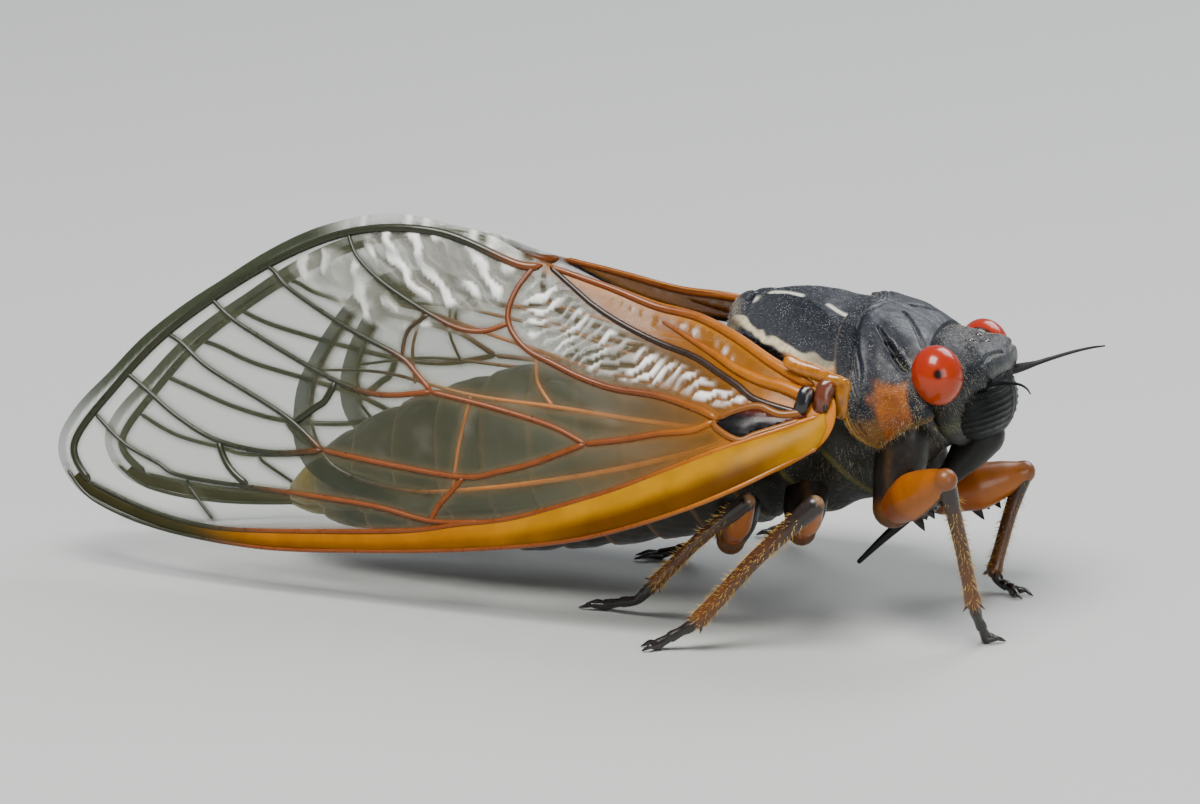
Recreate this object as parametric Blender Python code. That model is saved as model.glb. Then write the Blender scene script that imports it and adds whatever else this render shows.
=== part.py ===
"""A periodical cicada at rest, life size, standing on a flat floor.

The head points along +X, the insect's left side along +Y, and the feet stand at z = 0.
The body is laid out in its own pitched frame: `along` runs towards the head, `side` to the
insect's left and `up` away from the feet. Every size is in millimetres until MM turns it
into metres.
"""

import bpy
import bmesh
import math
import numpy as np
from mathutils import Vector
from mathutils.geometry import delaunay_2d_cdt, interpolate_bezier

MM = 0.001
GAP = 0.3                      # clear space between neighbouring pieces

# The body's frame: a point in the thorax, and how far the head end is raised.
BODY_CENTRE = Vector((11.0, 0.0, 8.2))
BODY_PITCH = math.radians(13.0)
HEAD_ROLL = math.radians(5.0)  # the head leans a little to its left

# Places along the body, from the tip of the abdomen to the front of the face.
ABDOMEN_TIP = -24.2
ABDOMEN_FRONT = -3.5

# Heights at which the upper plates part from the body's sides.
MESONOTUM_SEAM = 1.6
PRONOTUM_SEAM = -0.9

# Wings: root of the forewing and the height band that the surface is shaped over.
WING_ROOT_X = 12.5
WING_TOP = 16.0
WING_DEPTH = 14.0
WING_BULGE = 0.4
MEMBRANE = 0.5                 # thickness of the wing as a solid
TIP_MEMBRANE = 0.36            # thickness at the wing's tip
VEIN_RISE = 0.2                # height of a vein's ridge over the outer face
VEIN_RISE_INSIDE = 0.07
HINDWING_INSET = 1.06          # how far the hindwing's middle lies inside the forewing's
# The left wings hang a little lower towards their tips than the right ones, and close in there:
# how far at most, and over which distances behind the wing root.
LEFT_DROOP = (1.3, 8.0, 30.0)
LEFT_CLOSING = (2.2, 25.5, 34.5)
BODY_TUCK_FORE = 0.62          # room the body leaves under the forewing alone
BODY_TUCK_HIND = 1.75          # room the body leaves where the hindwing lies between

# Distance from the midline of the wing surface: x, at WING_TOP, and at the foot of the band.
WING_SPREAD = (
    (-23.0, -1.2, 4.1), (-14.0, -0.9, 5.4), (-7.0, 0.42, 6.4), (0.0, -0.8, 7.7),
    (5.0, -1.9, 9.2), (9.0, -1.5, 10.6), (13.0, 1.2, 8.6),
)

# Outlines in side view: distance behind the wing root, height over the floor.
FOREWING_OUTLINE = (
    (-0.2, 10.2), (1.1, 10.7), (4.4, 12.0), (6.6, 12.55), (8.4, 12.8), (10.8, 13.4), (13.3, 14.0),
    (14.4, 14.35), (16.4, 15.1), (19.7, 15.6), (22.0, 15.3), (24.9, 14.2), (27.9, 12.3),
    (30.6, 10.3), (32.7, 8.1), (34.1, 6.5), (34.6, 5.2), (34.1, 3.9), (32.6, 2.9), (29.4, 2.1),
    (24.8, 1.85), (20.4, 2.2), (15.3, 2.85), (10.8, 3.7), (7.2, 4.9), (3.4, 6.6), (0.6, 7.95),
    (-0.35, 9.0),
)
HINDWING_OUTLINE = (
    (3.4, 10.3), (7.0, 11.1), (11.0, 12.0), (15.0, 13.2), (18.6, 13.8), (21.4, 13.2), (23.2, 11.0),
    (24.2, 8.4), (23.9, 6.2), (22.4, 4.9), (18.6, 4.3), (14.6, 4.7), (9.8, 5.9), (5.6, 7.5),
    (3.6, 8.7),
)

# Vein name: half width of the ridge, then its route in side view.
FOREWING_VEINS = {
    "costa": (0.55, ((0.4, 8.8), (3.6, 7.25), (8.0, 5.3), (13.0, 3.8), (18.2, 2.95), (24.7, 2.45),
                     (29.3, 2.7), (32.6, 3.5))),
    "ambient": (0.34, ((32.6, 3.5), (33.9, 5.2), (32.2, 7.7), (29.6, 10.5), (25.6, 13.2),
                       (21.8, 14.8), (17.6, 14.8), (14.0, 13.7))),
    "second_anal": (0.3, ((0.6, 10.1), (4.4, 11.55), (8.4, 12.4), (12.4, 13.35), (14.0, 13.7))),
    "claval": (0.3, ((0.9, 9.6), (4.0, 10.3), (7.9, 11.4), (10.9, 12.4), (12.4, 13.35))),
    "basal_rear": (0.3, ((0.9, 9.6), (2.6, 9.3), (4.4, 9.0))),
    "basal_front": (0.3, ((0.4, 8.8), (3.4, 8.4), (4.4, 9.0))),
    "cubitus": (0.3, ((4.4, 9.0), (7.4, 9.5), (11.0, 9.9), (13.5, 10.7), (14.5, 11.9),
                      (14.0, 13.7))),
    "cubitus_1": (0.28, ((14.5, 11.9), (16.6, 11.4), (19.8, 12.7), (21.8, 14.8))),
    "media": (0.3, ((4.4, 9.0), (7.1, 8.2), (10.3, 7.5))),
    "media_3_4": (0.28, ((10.3, 7.5), (12.3, 8.1), (14.6, 8.5), (17.4, 8.9))),
    "media_4": (0.28, ((17.4, 8.9), (18.9, 10.2), (21.6, 11.0), (24.2, 12.1), (25.6, 13.2))),
    "media_3": (0.28, ((17.4, 8.9), (19.5, 8.6), (22.3, 9.1), (26.0, 10.3), (27.6, 12.0))),
    "cross_cubital": (0.26, ((17.6, 11.7), (18.8, 11.1), (18.9, 10.2))),
    "media_1_2": (0.28, ((10.3, 7.5), (12.9, 6.5), (15.5, 5.7), (18.8, 5.9), (22.1, 6.2))),
    "media_2": (0.28, ((22.1, 6.2), (24.3, 7.3), (27.8, 8.8), (29.6, 10.5))),
    "media_1": (0.28, ((22.1, 6.2), (24.4, 5.8), (27.6, 6.2), (30.4, 7.4), (31.5, 8.7))),
    "cross_medial": (0.26, ((22.3, 9.1), (22.7, 8.0), (24.3, 7.3))),
    "nodal": (0.28, ((15.5, 5.7), (16.3, 4.7), (16.8, 3.9))),
    "radius": (0.28, ((14.4, 3.55), (16.8, 3.9), (19.4, 4.2), (25.4, 4.4), (28.3, 4.4),
                      (31.0, 5.3), (32.8, 6.9))),
    "cross_radial_1": (0.26, ((27.6, 6.2), (26.6, 5.2), (25.4, 4.4))),
    "cross_radial_2": (0.26, ((28.3, 4.4), (27.8, 3.6), (27.0, 2.5))),
}
HINDWING_VEINS = {
    "radius": (0.28, ((4.0, 9.0), (6.2, 8.0), (10.2, 6.7), (14.6, 5.6), (18.6, 5.0), (22.0, 5.6),
                      (23.4, 7.4))),
    "media": (0.28, ((4.0, 9.0), (8.0, 8.9), (12.4, 9.0), (16.0, 9.1), (20.0, 9.6), (23.2, 9.4))),
    "cubitus": (0.28, ((4.0, 9.0), (7.0, 10.1), (11.0, 10.6), (15.0, 11.4), (18.6, 12.2),
                       (21.4, 12.4))),
    "cross_front": (0.26, ((16.0, 9.1), (16.3, 7.2), (16.4, 5.3))),
    "cross_rear": (0.26, ((12.4, 9.0), (13.2, 9.9), (13.4, 11.0))),
    "margin": (0.3, ((23.4, 7.4), (23.2, 9.4), (22.4, 11.2), (21.4, 12.4))),
}

# Abdomen: along, half width, height over and depth under its middle line.
ABDOMEN_PROFILE = (
    (-24.2, 0.55, 0.5, 0.5), (-23.2, 1.35, 1.3, 1.05), (-21.0, 2.45, 2.45, 2.0),
    (-18.0, 3.35, 3.3, 3.0), (-14.0, 4.0, 3.85, 3.85), (-10.0, 4.3, 4.1, 4.2),
    (-6.0, 4.3, 3.9, 4.25), (-3.5, 4.1, 3.4, 4.2),
)
ABDOMEN_SEGMENTS = 9
SEGMENT_STEP = 0.16            # how far each ring's rear rim stands over the next ring

# Thorax behind the pronotum: along, half width, top, bottom, narrowing above and below.
PTEROTHORAX_PROFILE = (
    (-3.2, 3.9, 4.5, -3.8, 0.66, 0.25), (-2.95, 4.0, 5.05, -3.9, 0.62, 0.28),
    (-2.5, 4.1, 5.6, -4.0, 0.56, 0.32), (-1.95, 4.2, 5.38, -4.1, 0.42, 0.36),
    (-1.2, 4.35, 5.5, -4.2, 0.3, 0.4), (0.0, 4.5, 5.4, -4.2, 0.18, 0.42),
    (1.3, 4.6, 5.05, -4.0, 0.15, 0.45), (2.4, 4.6, 4.58, -3.6, 0.16, 0.45),
)
PROTHORAX_PROFILE = (
    (2.7, 4.95, 4.6, -3.0, 0.16, 0.45), (3.1, 5.1, 4.63, -3.0, 0.18, 0.48),
    (3.65, 5.1, 4.46, -2.9, 0.18, 0.5), (3.85, 4.8, 4.2, -2.9, 0.18, 0.5),
    (4.2, 4.72, 4.03, -2.8, 0.19, 0.5), (4.9, 4.65, 3.52, -2.5, 0.19, 0.45),
    (5.55, 4.4, 3.0, -2.2, 0.15, 0.35),
)
HEAD_PROFILE = (
    (5.85, 3.85, 2.78, -2.3, 0.06, 0.2), (6.4, 3.95, 2.6, -2.35, 0.06, 0.2),
    (7.0, 3.7, 2.28, -2.0, 0.05, 0.2), (7.5, 3.25, 2.04, -1.5, 0.05, 0.2),
    (7.95, 2.25, 1.7, -0.8, 0.03, 0.15), (8.22, 1.4, 1.36, 0.0, 0.0, 0.0),
)

# Eyes, in the head's frame.
EYE_CENTRE = (6.2, 3.85, 1.22)
EYE_RADII = (1.06, 1.12, 1.24)
EYE_FACETS = (18, 11)

# Face: the swollen clypeus with its ridges, then the beak in world coordinates.
CLYPEUS_CENTRE = (6.62, 0.0, -0.36)
CLYPEUS_RADII = (1.57, 2.85, 1.76)
CLYPEUS_REAR = 6.3             # the plate's hidden flat back
CLYPEUS_RIDGES = 9
CLYPEUS_RIDGE_RISE = 0.09
BEAK_ROUTE = ((17.0, 0.0, 6.8), (16.1, 0.0, 5.7), (14.5, 0.0, 3.8), (12.5, 0.0, 1.8))
BEAK_RADII = (0.62, 0.46, 0.34, 0.16)

# Feelers in world coordinates, root first; a thick joint and then a bristle.
ANTENNA_RADII = (0.27, 0.23, 0.17, 0.1, 0.05)
ANTENNA_LEFT = ((18.3, 2.2, 10.0), (18.95, 2.45, 10.15), (19.4, 2.6, 10.27), (20.8, 3.3, 10.7),
                (22.03, 4.0, 10.9))
ANTENNA_RIGHT = ((18.3, -1.9, 10.45), (19.0, -2.2, 10.6), (19.4, -2.45, 10.66),
                 (20.1, -3.1, 10.8), (20.6, -3.7, 10.58))

# Legs in world coordinates: hip, end of coxa, knee, ankle, heel, sole, tips of the claws.
LEGS = {
    "fore_right": ((15.2, -3.1, 8.2), (14.9, -3.7, 5.35), (17.75, -6.4, 7.45), (18.6, -4.72, 1.85),
                   (18.75, -4.45, 1.05), (19.0, -4.05, 0.2), (19.5, -3.5, 0.04)),
    "fore_left": ((14.7, 3.1, 7.0), (15.25, 3.5, 3.9), (18.4, 5.0, 4.9), (17.5, 3.6, 0.85),
                  (17.85, 3.45, 0.35), (18.45, 3.2, 0.2), (19.15, 2.8, 0.04)),
    "mid_right": ((10.9, -2.4, 5.4), (11.0, -3.6, 4.0), (12.5, -7.3, 6.2), (7.95, -8.5, 1.25),
                  (7.3, -8.65, 0.75), (6.4, -8.87, 0.21), (5.75, -9.1, 0.04)),
    "hind_right": ((8.0, -2.4, 4.6), (7.9, -3.4, 3.3), (9.15, -5.5, 5.6), (4.95, -4.5, 1.5),
                   (4.1, -4.35, 0.6), (2.7, -4.05, 0.2), (1.6, -3.85, 0.04)),
}
COXA_RADII = {"fore": (1.15, 0.85), "mid": (0.95, 0.6), "hind": (0.95, 0.6)}
FEMUR_RADII = {"fore": (0.8, 1.0, 0.55), "mid": (0.45, 0.6, 0.42), "hind": (0.45, 0.58, 0.4)}
TIBIA_RADII = {"fore": (0.36, 0.3, 0.33), "mid": (0.38, 0.33, 0.34), "hind": (0.34, 0.28, 0.3)}
TIBIA_BOW = 0.2                # how far the middle of a tibia stands over its straight line
TARSUS_RADIUS = 0.27
CLAW_RADIUS = 0.13
CLAW_SPREAD = 0.28

# Base colours, roughness and metallic value of each kind of surface.
SURFACES = {
    "black_cuticle": ((0.02, 0.022, 0.027), 0.38),
    "eye_red": ((0.72, 0.07, 0.01), 0.12),
    "orange_cuticle": ((0.62, 0.19, 0.02), 0.3),
    "brown_cuticle": ((0.22, 0.08, 0.02), 0.42),
    "abdomen_dark": ((0.06, 0.055, 0.035), 0.5),
    "wing_membrane": ((0.62, 0.42, 0.16), 0.25),
    "claw_black": ((0.03, 0.022, 0.02), 0.35),
}


def body_to_world(along, side, up):
    """Turn a place in the body's pitched frame into world millimetres."""
    cos_pitch = math.cos(BODY_PITCH)
    sin_pitch = math.sin(BODY_PITCH)
    return BODY_CENTRE + Vector((
        along * cos_pitch - up * sin_pitch,
        side,
        along * sin_pitch + up * cos_pitch,
    ))


def head_to_world(along, side, up):
    """Turn a place in the leaning head's frame into world millimetres."""
    cos_roll = math.cos(HEAD_ROLL)
    sin_roll = math.sin(HEAD_ROLL)
    return body_to_world(along, side * cos_roll + up * sin_roll, up * cos_roll - side * sin_roll)


def smooth_value(table, x, column):
    """Read a smooth curve through one column of a table that is sorted on its first column."""
    xs = [row[0] for row in table]
    ys = [row[column] for row in table]
    if x <= xs[0]:
        return ys[0]
    if x >= xs[-1]:
        return ys[-1]
    last = len(xs) - 1
    i = max(k for k in range(last) if xs[k] <= x)
    slopes = []
    for k in (i, i + 1):
        before, after = max(k - 1, 0), min(k + 1, last)
        slopes.append((ys[after] - ys[before]) / (xs[after] - xs[before]))
    width = xs[i + 1] - xs[i]
    t = (x - xs[i]) / width
    return ((2 * t**3 - 3 * t**2 + 1) * ys[i] + (t**3 - 2 * t**2 + t) * width * slopes[0]
            + (3 * t**2 - 2 * t**3) * ys[i + 1] + (t**3 - t**2) * width * slopes[1])


def smooth_step(value, low, high):
    """Rise from 0 to 1 between low and high."""
    t = min(1.0, max(0.0, (value - low) / (high - low)))
    return t * t * (3.0 - 2.0 * t)


def wing_side(x, z):
    """Distance of the forewing's middle surface from the midline at one side-view place."""
    t = (WING_TOP - z) / WING_DEPTH
    share = t + WING_BULGE * t * (1.0 - t)
    top = smooth_value(WING_SPREAD, x, 1)
    foot = smooth_value(WING_SPREAD, x, 2)
    return top + (foot - top) * share


def wing_normal(x, z):
    """Outward direction of the left wing's surface at one side-view place."""
    step = 0.05
    slope_x = (wing_side(x + step, z) - wing_side(x - step, z)) / (2 * step)
    slope_z = (wing_side(x, z + step) - wing_side(x, z - step)) / (2 * step)
    return Vector((-slope_x, 1.0, -slope_z)).normalized()


def tuck_under_wings(point):
    """Bring a point of the body in so that it stays clear of the wings."""
    over_abdomen = smooth_step(WING_ROOT_X - 2.0 - point.x, 0.0, 1.0)
    margin = HINDWING_OUTLINE[0][1] + 0.24 * (WING_ROOT_X - HINDWING_OUTLINE[0][0] - point.x)
    below_margin = 1.0 - smooth_step(point.z, margin + 0.5, margin + 1.3)
    room = BODY_TUCK_FORE + (BODY_TUCK_HIND - BODY_TUCK_FORE) * over_abdomen * below_margin
    ahead = smooth_step(point.x, WING_ROOT_X + 0.5, WING_ROOT_X + 1.2)
    x = min(point.x, WING_ROOT_X + 0.5)
    limit = wing_side(x, point.z) - room / wing_normal(x, point.z).y + 2.0 * ahead
    if abs(point.y) > limit:
        point.y = math.copysign(max(limit, 0.0), point.y)
    return point


def material(name):
    """Make or fetch the material of one kind of surface."""
    found = bpy.data.materials.get(name)
    if found:
        return found
    colour, roughness = SURFACES[name]
    made = bpy.data.materials.new(name)
    made.use_nodes = True
    shader = made.node_tree.nodes["Principled BSDF"]
    shader.inputs["Base Color"].default_value = (*colour, 1.0)
    shader.inputs["Roughness"].default_value = roughness
    shader.inputs["Metallic"].default_value = 0.0
    made.diffuse_color = (*colour, 1.0)
    return made


def clean_scene():
    """Start from an empty scene with one collection for the cicada."""
    for item in list(bpy.data.objects):
        bpy.data.objects.remove(item, do_unlink=True)
    parts = bpy.data.collections.new("periodical_cicada")
    bpy.context.scene.collection.children.link(parts)
    return parts


def finish_mesh(mesh, points, faces):
    """Fill a mesh from millimetre points and faces, closed and facing outwards."""
    mesh.from_pydata([Vector(p) * MM for p in points], [], faces)
    bm = bmesh.new()
    bm.from_mesh(mesh)
    bmesh.ops.recalc_face_normals(bm, faces=bm.faces)
    bm.to_mesh(mesh)
    bm.free()
    return mesh


def new_object(name, points, faces, surface, collection):
    """Add one named object with its material."""
    mesh = finish_mesh(bpy.data.meshes.new(name), points, faces)
    mesh.materials.append(material(surface))
    made = bpy.data.objects.new(name, mesh)
    collection.objects.link(made)
    return made


def ring_shape(sides, bluntness):
    """Unit points round a section; a bluntness under 1 makes it fuller at the corners."""
    shape = []
    for k in range(sides):
        angle = 2.0 * math.pi * k / sides
        c, s = math.cos(angle), math.sin(angle)
        shape.append((math.copysign(abs(c) ** bluntness, c), math.copysign(abs(s) ** bluntness, s)))
    return shape


def join_rings(rings, points, faces, closed_ends=True):
    """Skin a run of equal rings of points."""
    start = len(points)
    sides = len(rings[0])
    for ring in rings:
        points.extend(ring)
    for r in range(len(rings) - 1):
        for k in range(sides):
            a = start + r * sides + k
            b = start + r * sides + (k + 1) % sides
            faces.append((a, b, b + sides, a + sides))
    if closed_ends:
        faces.append(tuple(start + k for k in range(sides)))
        last = start + (len(rings) - 1) * sides
        faces.append(tuple(last + k for k in reversed(range(sides))))


def body_loft(name, sections, sides, surface, collection, bluntness=0.86, tuck=False,
              to_world=body_to_world):
    """Loft sections of (along, half width, top, bottom, narrow above, narrow below)."""
    rings = []
    for along, half_width, top, bottom, narrow_above, narrow_below in sections:
        middle = (top + bottom) / 2.0
        half_height = (top - bottom) / 2.0
        ring = []
        for c, s in ring_shape(sides, bluntness):
            narrowing = narrow_above * max(0.0, s) ** 1.5 + narrow_below * max(0.0, -s) ** 1.5
            side = half_width * c * (1.0 - narrowing)
            place = to_world(along, side, middle + half_height * s)
            ring.append(tuck_under_wings(place) if tuck else place)
        rings.append(ring)
    points, faces = [], []
    join_rings(rings, points, faces)
    return new_object(name, points, faces, surface, collection)


def limb_points(route, radii, sides, grow=0.0):
    """Rings of a tapered limb with round ends along a route, made thicker by grow."""
    route = [Vector(p) for p in route]
    rings = []
    previous = None
    last = len(route) - 1
    for i, place in enumerate(route):
        ahead = (route[min(i + 1, last)] - route[max(i - 1, 0)]).normalized()
        if previous is None:
            reference = Vector((0.0, 0.0, 1.0)) if abs(ahead.z) < 0.9 else Vector((1.0, 0.0, 0.0))
            across = ahead.cross(reference).normalized()
        else:
            across = (previous - ahead * previous.dot(ahead)).normalized()
        previous = across
        over = ahead.cross(across)
        radius = radii[i] + grow

        def ring(centre, size):
            return [centre + (across * math.cos(a) + over * math.sin(a)) * size
                    for a in (2.0 * math.pi * k / sides for k in range(sides))]

        if i == 0:
            rings.append(ring(place - ahead * radius * 0.9, radius * 0.44))
            rings.append(ring(place - ahead * radius * 0.5, radius * 0.87))
        rings.append(ring(place, radius))
        if i == last:
            rings.append(ring(place + ahead * radius * 0.5, radius * 0.87))
            rings.append(ring(place + ahead * radius * 0.9, radius * 0.44))
    return rings


def limb(name, route, radii, sides, surface, collection, grow=0.0):
    """Add a tapered limb with round ends."""
    points, faces = [], []
    join_rings(limb_points(route, radii, sides, grow), points, faces)
    return new_object(name, points, faces, surface, collection)


def apply_modifiers(item):
    """Replace an object's mesh by what its modifiers make of it."""
    graph = bpy.context.evaluated_depsgraph_get()
    made = bpy.data.meshes.new_from_object(item.evaluated_get(graph))
    item.modifiers.clear()
    item.data = made


def keep_largest_body(item):
    """Drop every loose scrap but the largest closed surface."""
    bm = bmesh.new()
    bm.from_mesh(item.data)
    bm.verts.ensure_lookup_table()
    seen = set()
    groups = []
    for start in bm.verts:
        if start.index in seen:
            continue
        group, todo = [], [start]
        seen.add(start.index)
        while todo:
            vert = todo.pop()
            group.append(vert)
            for edge in vert.link_edges:
                other = edge.other_vert(vert)
                if other.index not in seen:
                    seen.add(other.index)
                    todo.append(other)
        groups.append(group)
    groups.sort(key=span, reverse=True)
    for group in groups[1:]:
        bmesh.ops.delete(bm, geom=group, context="VERTS")
    bm.to_mesh(item.data)
    bm.free()


def span(group):
    """Diagonal of the box round some vertices."""
    low = [min(v.co[axis] for v in group) for axis in range(3)]
    high = [max(v.co[axis] for v in group) for axis in range(3)]
    return (Vector(high) - Vector(low)).length


def carve(item, cutters):
    """Subtract some cutter objects from an object and remove them."""
    for cutter in cutters:
        cut = item.modifiers.new("clearance", "BOOLEAN")
        cut.operation = "DIFFERENCE"
        cut.solver = "EXACT"
        cut.object = cutter
        cutter.hide_render = True
        cutter.display_type = "WIRE"
    apply_modifiers(item)
    for cutter in cutters:
        bpy.data.objects.remove(cutter, do_unlink=True)
    keep_largest_body(item)


def fuse(item, pieces):
    """Join closed pieces to an object in one union and remove them."""
    group = bpy.data.collections.new("fused_pieces")
    bpy.context.scene.collection.children.link(group)
    for piece in pieces:
        for home in list(piece.users_collection):
            home.objects.unlink(piece)
        group.objects.link(piece)
    union = item.modifiers.new("union", "BOOLEAN")
    union.operation = "UNION"
    union.solver = "EXACT"
    union.operand_type = "COLLECTION"
    union.collection = group
    apply_modifiers(item)
    for piece in pieces:
        bpy.data.objects.remove(piece, do_unlink=True)
    bpy.data.collections.remove(group)
    keep_largest_body(item)


def slice_off(item, place, outward):
    """Cut away all that lies outside a plane and close the cut with a flat face."""
    bm = bmesh.new()
    bm.from_mesh(item.data)
    cut = bmesh.ops.bisect_plane(
        bm, geom=bm.verts[:] + bm.edges[:] + bm.faces[:], dist=1e-7,
        plane_co=Vector(place) * MM, plane_no=outward, clear_outer=True)
    rim = [edge for edge in cut["geom_cut"] if isinstance(edge, bmesh.types.BMEdge)]
    bmesh.ops.holes_fill(bm, edges=rim, sides=0)
    bmesh.ops.recalc_face_normals(bm, faces=bm.faces)
    bm.to_mesh(item.data)
    bm.free()


def smooth_round(item, angle=40.0):
    """Shade an object smooth, with its real edges kept sharp."""
    item.data.shade_smooth()
    item.data.set_sharp_from_angle(angle=math.radians(angle))


def ellipsoid(name, centre, radii, segments, rings, surface, collection, grow=0.0):
    """Add an ellipsoid whose axes follow the head's frame."""
    bm = bmesh.new()
    bmesh.ops.create_uvsphere(bm, u_segments=segments, v_segments=rings, radius=1.0)
    for vert in bm.verts:
        place = head_to_world(*(centre[i] + vert.co[i] * (radii[i] + grow) for i in range(3)))
        vert.co = place * MM
    bmesh.ops.recalc_face_normals(bm, faces=bm.faces)
    mesh = bpy.data.meshes.new(name)
    bm.to_mesh(mesh)
    bm.free()
    mesh.materials.append(material(surface))
    made = bpy.data.objects.new(name, mesh)
    collection.objects.link(made)
    return made


def make_abdomen(parts):
    """Nine overlapping rings and a tip, lofted along the body."""
    front, rear = ABDOMEN_FRONT, -22.6
    sections = []
    length = (front - rear) / ABDOMEN_SEGMENTS
    for n in range(ABDOMEN_SEGMENTS):
        ring_front = front - n * length
        for share, rise in ((0.0, -SEGMENT_STEP), (0.5, -0.3 * SEGMENT_STEP), (0.93, 0.0)):
            sections.append(abdomen_section(ring_front - share * length, rise))
    for along, rise in ((-22.7, -SEGMENT_STEP), (-23.4, 0.0), (-23.9, 0.0), (ABDOMEN_TIP, 0.0)):
        sections.append(abdomen_section(along, rise))
    made = body_loft("abdomen", sections, 26, "abdomen_dark", parts, bluntness=0.92, tuck=True)
    smooth_round(made)
    return made


def abdomen_section(along, rise):
    """One section of the abdomen, raised or sunk by rise."""
    half_width = smooth_value(ABDOMEN_PROFILE, along, 1) + rise
    top = smooth_value(ABDOMEN_PROFILE, along, 2) + rise
    bottom = smooth_value(ABDOMEN_PROFILE, along, 3) + rise
    return (along, half_width, top, -bottom, 0.12, 0.08)


def profile_sections(profile, steps):
    """Fill in a profile table at even steps between its own rows."""
    sections = []
    for row, following in zip(profile, profile[1:]):
        for n in range(steps):
            along = row[0] + (following[0] - row[0]) * n / steps
            sections.append((along, *(smooth_value(profile, along, c) for c in range(1, 6))))
    sections.append(profile[-1])
    return sections


def split_level(name_top, name_below, profile, seam, surface_top, surface_below, parts):
    """Loft a length of thorax and part it into its upper plate and its underside."""
    made = []
    sections = profile_sections(profile, 2)
    for name, surface, sign in ((name_top, surface_top, 1.0), (name_below, surface_below, -1.0)):
        piece = body_loft(name, sections, 32, surface, parts, tuck=True)
        level = body_to_world(0.0, 0.0, seam + sign * GAP / 2.0)
        upward = body_to_world(0.0, 0.0, 1.0) - body_to_world(0.0, 0.0, 0.0)
        slice_off(piece, level, -sign * upward)
        smooth_round(piece)
        made.append(piece)
    return made


def make_clypeus(parts):
    """The swollen face plate with ridges that run across it."""
    rows = 2 * CLYPEUS_RIDGES + 1
    rings = []
    for r in range(rows):
        lean = math.pi * (0.06 + 0.88 * r / (rows - 1))
        height = CLYPEUS_RADII[2] * math.cos(lean)
        size = math.sin(lean) * (1.0 + CLYPEUS_RIDGE_RISE / CLYPEUS_RADII[0] * (r % 2))
        ring = []
        for k in range(18):
            angle = 2.0 * math.pi * k / 18
            ring.append(head_to_world(
                CLYPEUS_CENTRE[0] + CLYPEUS_RADII[0] * size * math.cos(angle),
                CLYPEUS_RADII[1] * size * math.sin(angle),
                CLYPEUS_CENTRE[2] + height))
        rings.append(ring)
    points, faces = [], []
    join_rings(rings, points, faces)
    made = new_object("clypeus", points, faces, "black_cuticle", parts)
    slice_off(made, body_to_world(CLYPEUS_REAR, 0.0, 0.0), backwards())
    smooth_round(made, 60.0)
    return made


def make_head(parts):
    """Head capsule with its sockets, the eyes, the clypeus, the beak and the feelers."""
    head = body_loft("head", profile_sections(HEAD_PROFILE, 2), 30, "black_cuticle", parts, 0.9,
                     to_world=head_to_world)
    for label, sign in (("right", -1.0), ("left", 1.0)):
        centre = (EYE_CENTRE[0], sign * EYE_CENTRE[1], EYE_CENTRE[2])
        eye = ellipsoid("eye_" + label, centre, EYE_RADII, *EYE_FACETS, "eye_red", parts)
        smooth_round(eye, 60.0)
    carve(head, eye_rooms(parts) + [face_room(parts)])
    smooth_round(head)
    make_clypeus(parts)

    beak = limb("beak", BEAK_ROUTE, BEAK_RADII, 12, "black_cuticle", parts)
    carve(beak, [face_room(parts), head_room(parts),
                 room_for("prothorax_room", PROTHORAX_PROFILE, parts)])
    smooth_round(beak)
    for label, route in (("left", ANTENNA_LEFT), ("right", ANTENNA_RIGHT)):
        feeler = limb("antenna_" + label, route, ANTENNA_RADII, 10, "black_cuticle", parts)
        carve(feeler, [face_room(parts), head_room(parts)])
        smooth_round(feeler)


def head_room(parts):
    """A cutter that keeps a piece clear of the head capsule."""
    return room_for("head_room", HEAD_PROFILE, parts, 0.9, head_to_world)


def eye_rooms(parts):
    """Cutters that keep a piece clear of both eyes."""
    rooms = []
    for sign in (-1.0, 1.0):
        centre = (EYE_CENTRE[0], sign * EYE_CENTRE[1], EYE_CENTRE[2])
        rooms.append(ellipsoid("eye_room", centre, EYE_RADII, *EYE_FACETS, "eye_red", parts,
                               GAP + 0.02))
    return rooms


def face_room(parts):
    """A cutter that keeps a piece clear of the clypeus."""
    room = ellipsoid("face_room", CLYPEUS_CENTRE, CLYPEUS_RADII, 24, 14, "black_cuticle", parts,
                     GAP + CLYPEUS_RIDGE_RISE)
    slice_off(room, body_to_world(CLYPEUS_REAR - GAP, 0.0, 0.0), backwards())
    return room


def room_for(name, profile, parts, bluntness=0.86, to_world=body_to_world):
    """A cutter that keeps a piece clear of one lofted length of the body."""
    return body_loft(name, grown_sections(profile, GAP + 0.03), 30, "black_cuticle", parts,
                     bluntness, to_world=to_world)


def backwards():
    """The direction from the head towards the tail along the body."""
    return body_to_world(0.0, 0.0, 0.0) - body_to_world(1.0, 0.0, 0.0)


def grown_sections(profile, amount):
    """Sections of a profile made larger all round, the ends included."""
    rows = profile_sections(profile, 2)
    low, high = rows[0][0], rows[-1][0]
    sections = []
    for along, half_width, top, bottom, above, below in rows:
        lean = 2.0 * (along - low) / (high - low) - 1.0
        sections.append((along + amount * lean, half_width + amount, top + amount,
                         bottom - amount, above, below))
    return sections


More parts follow.
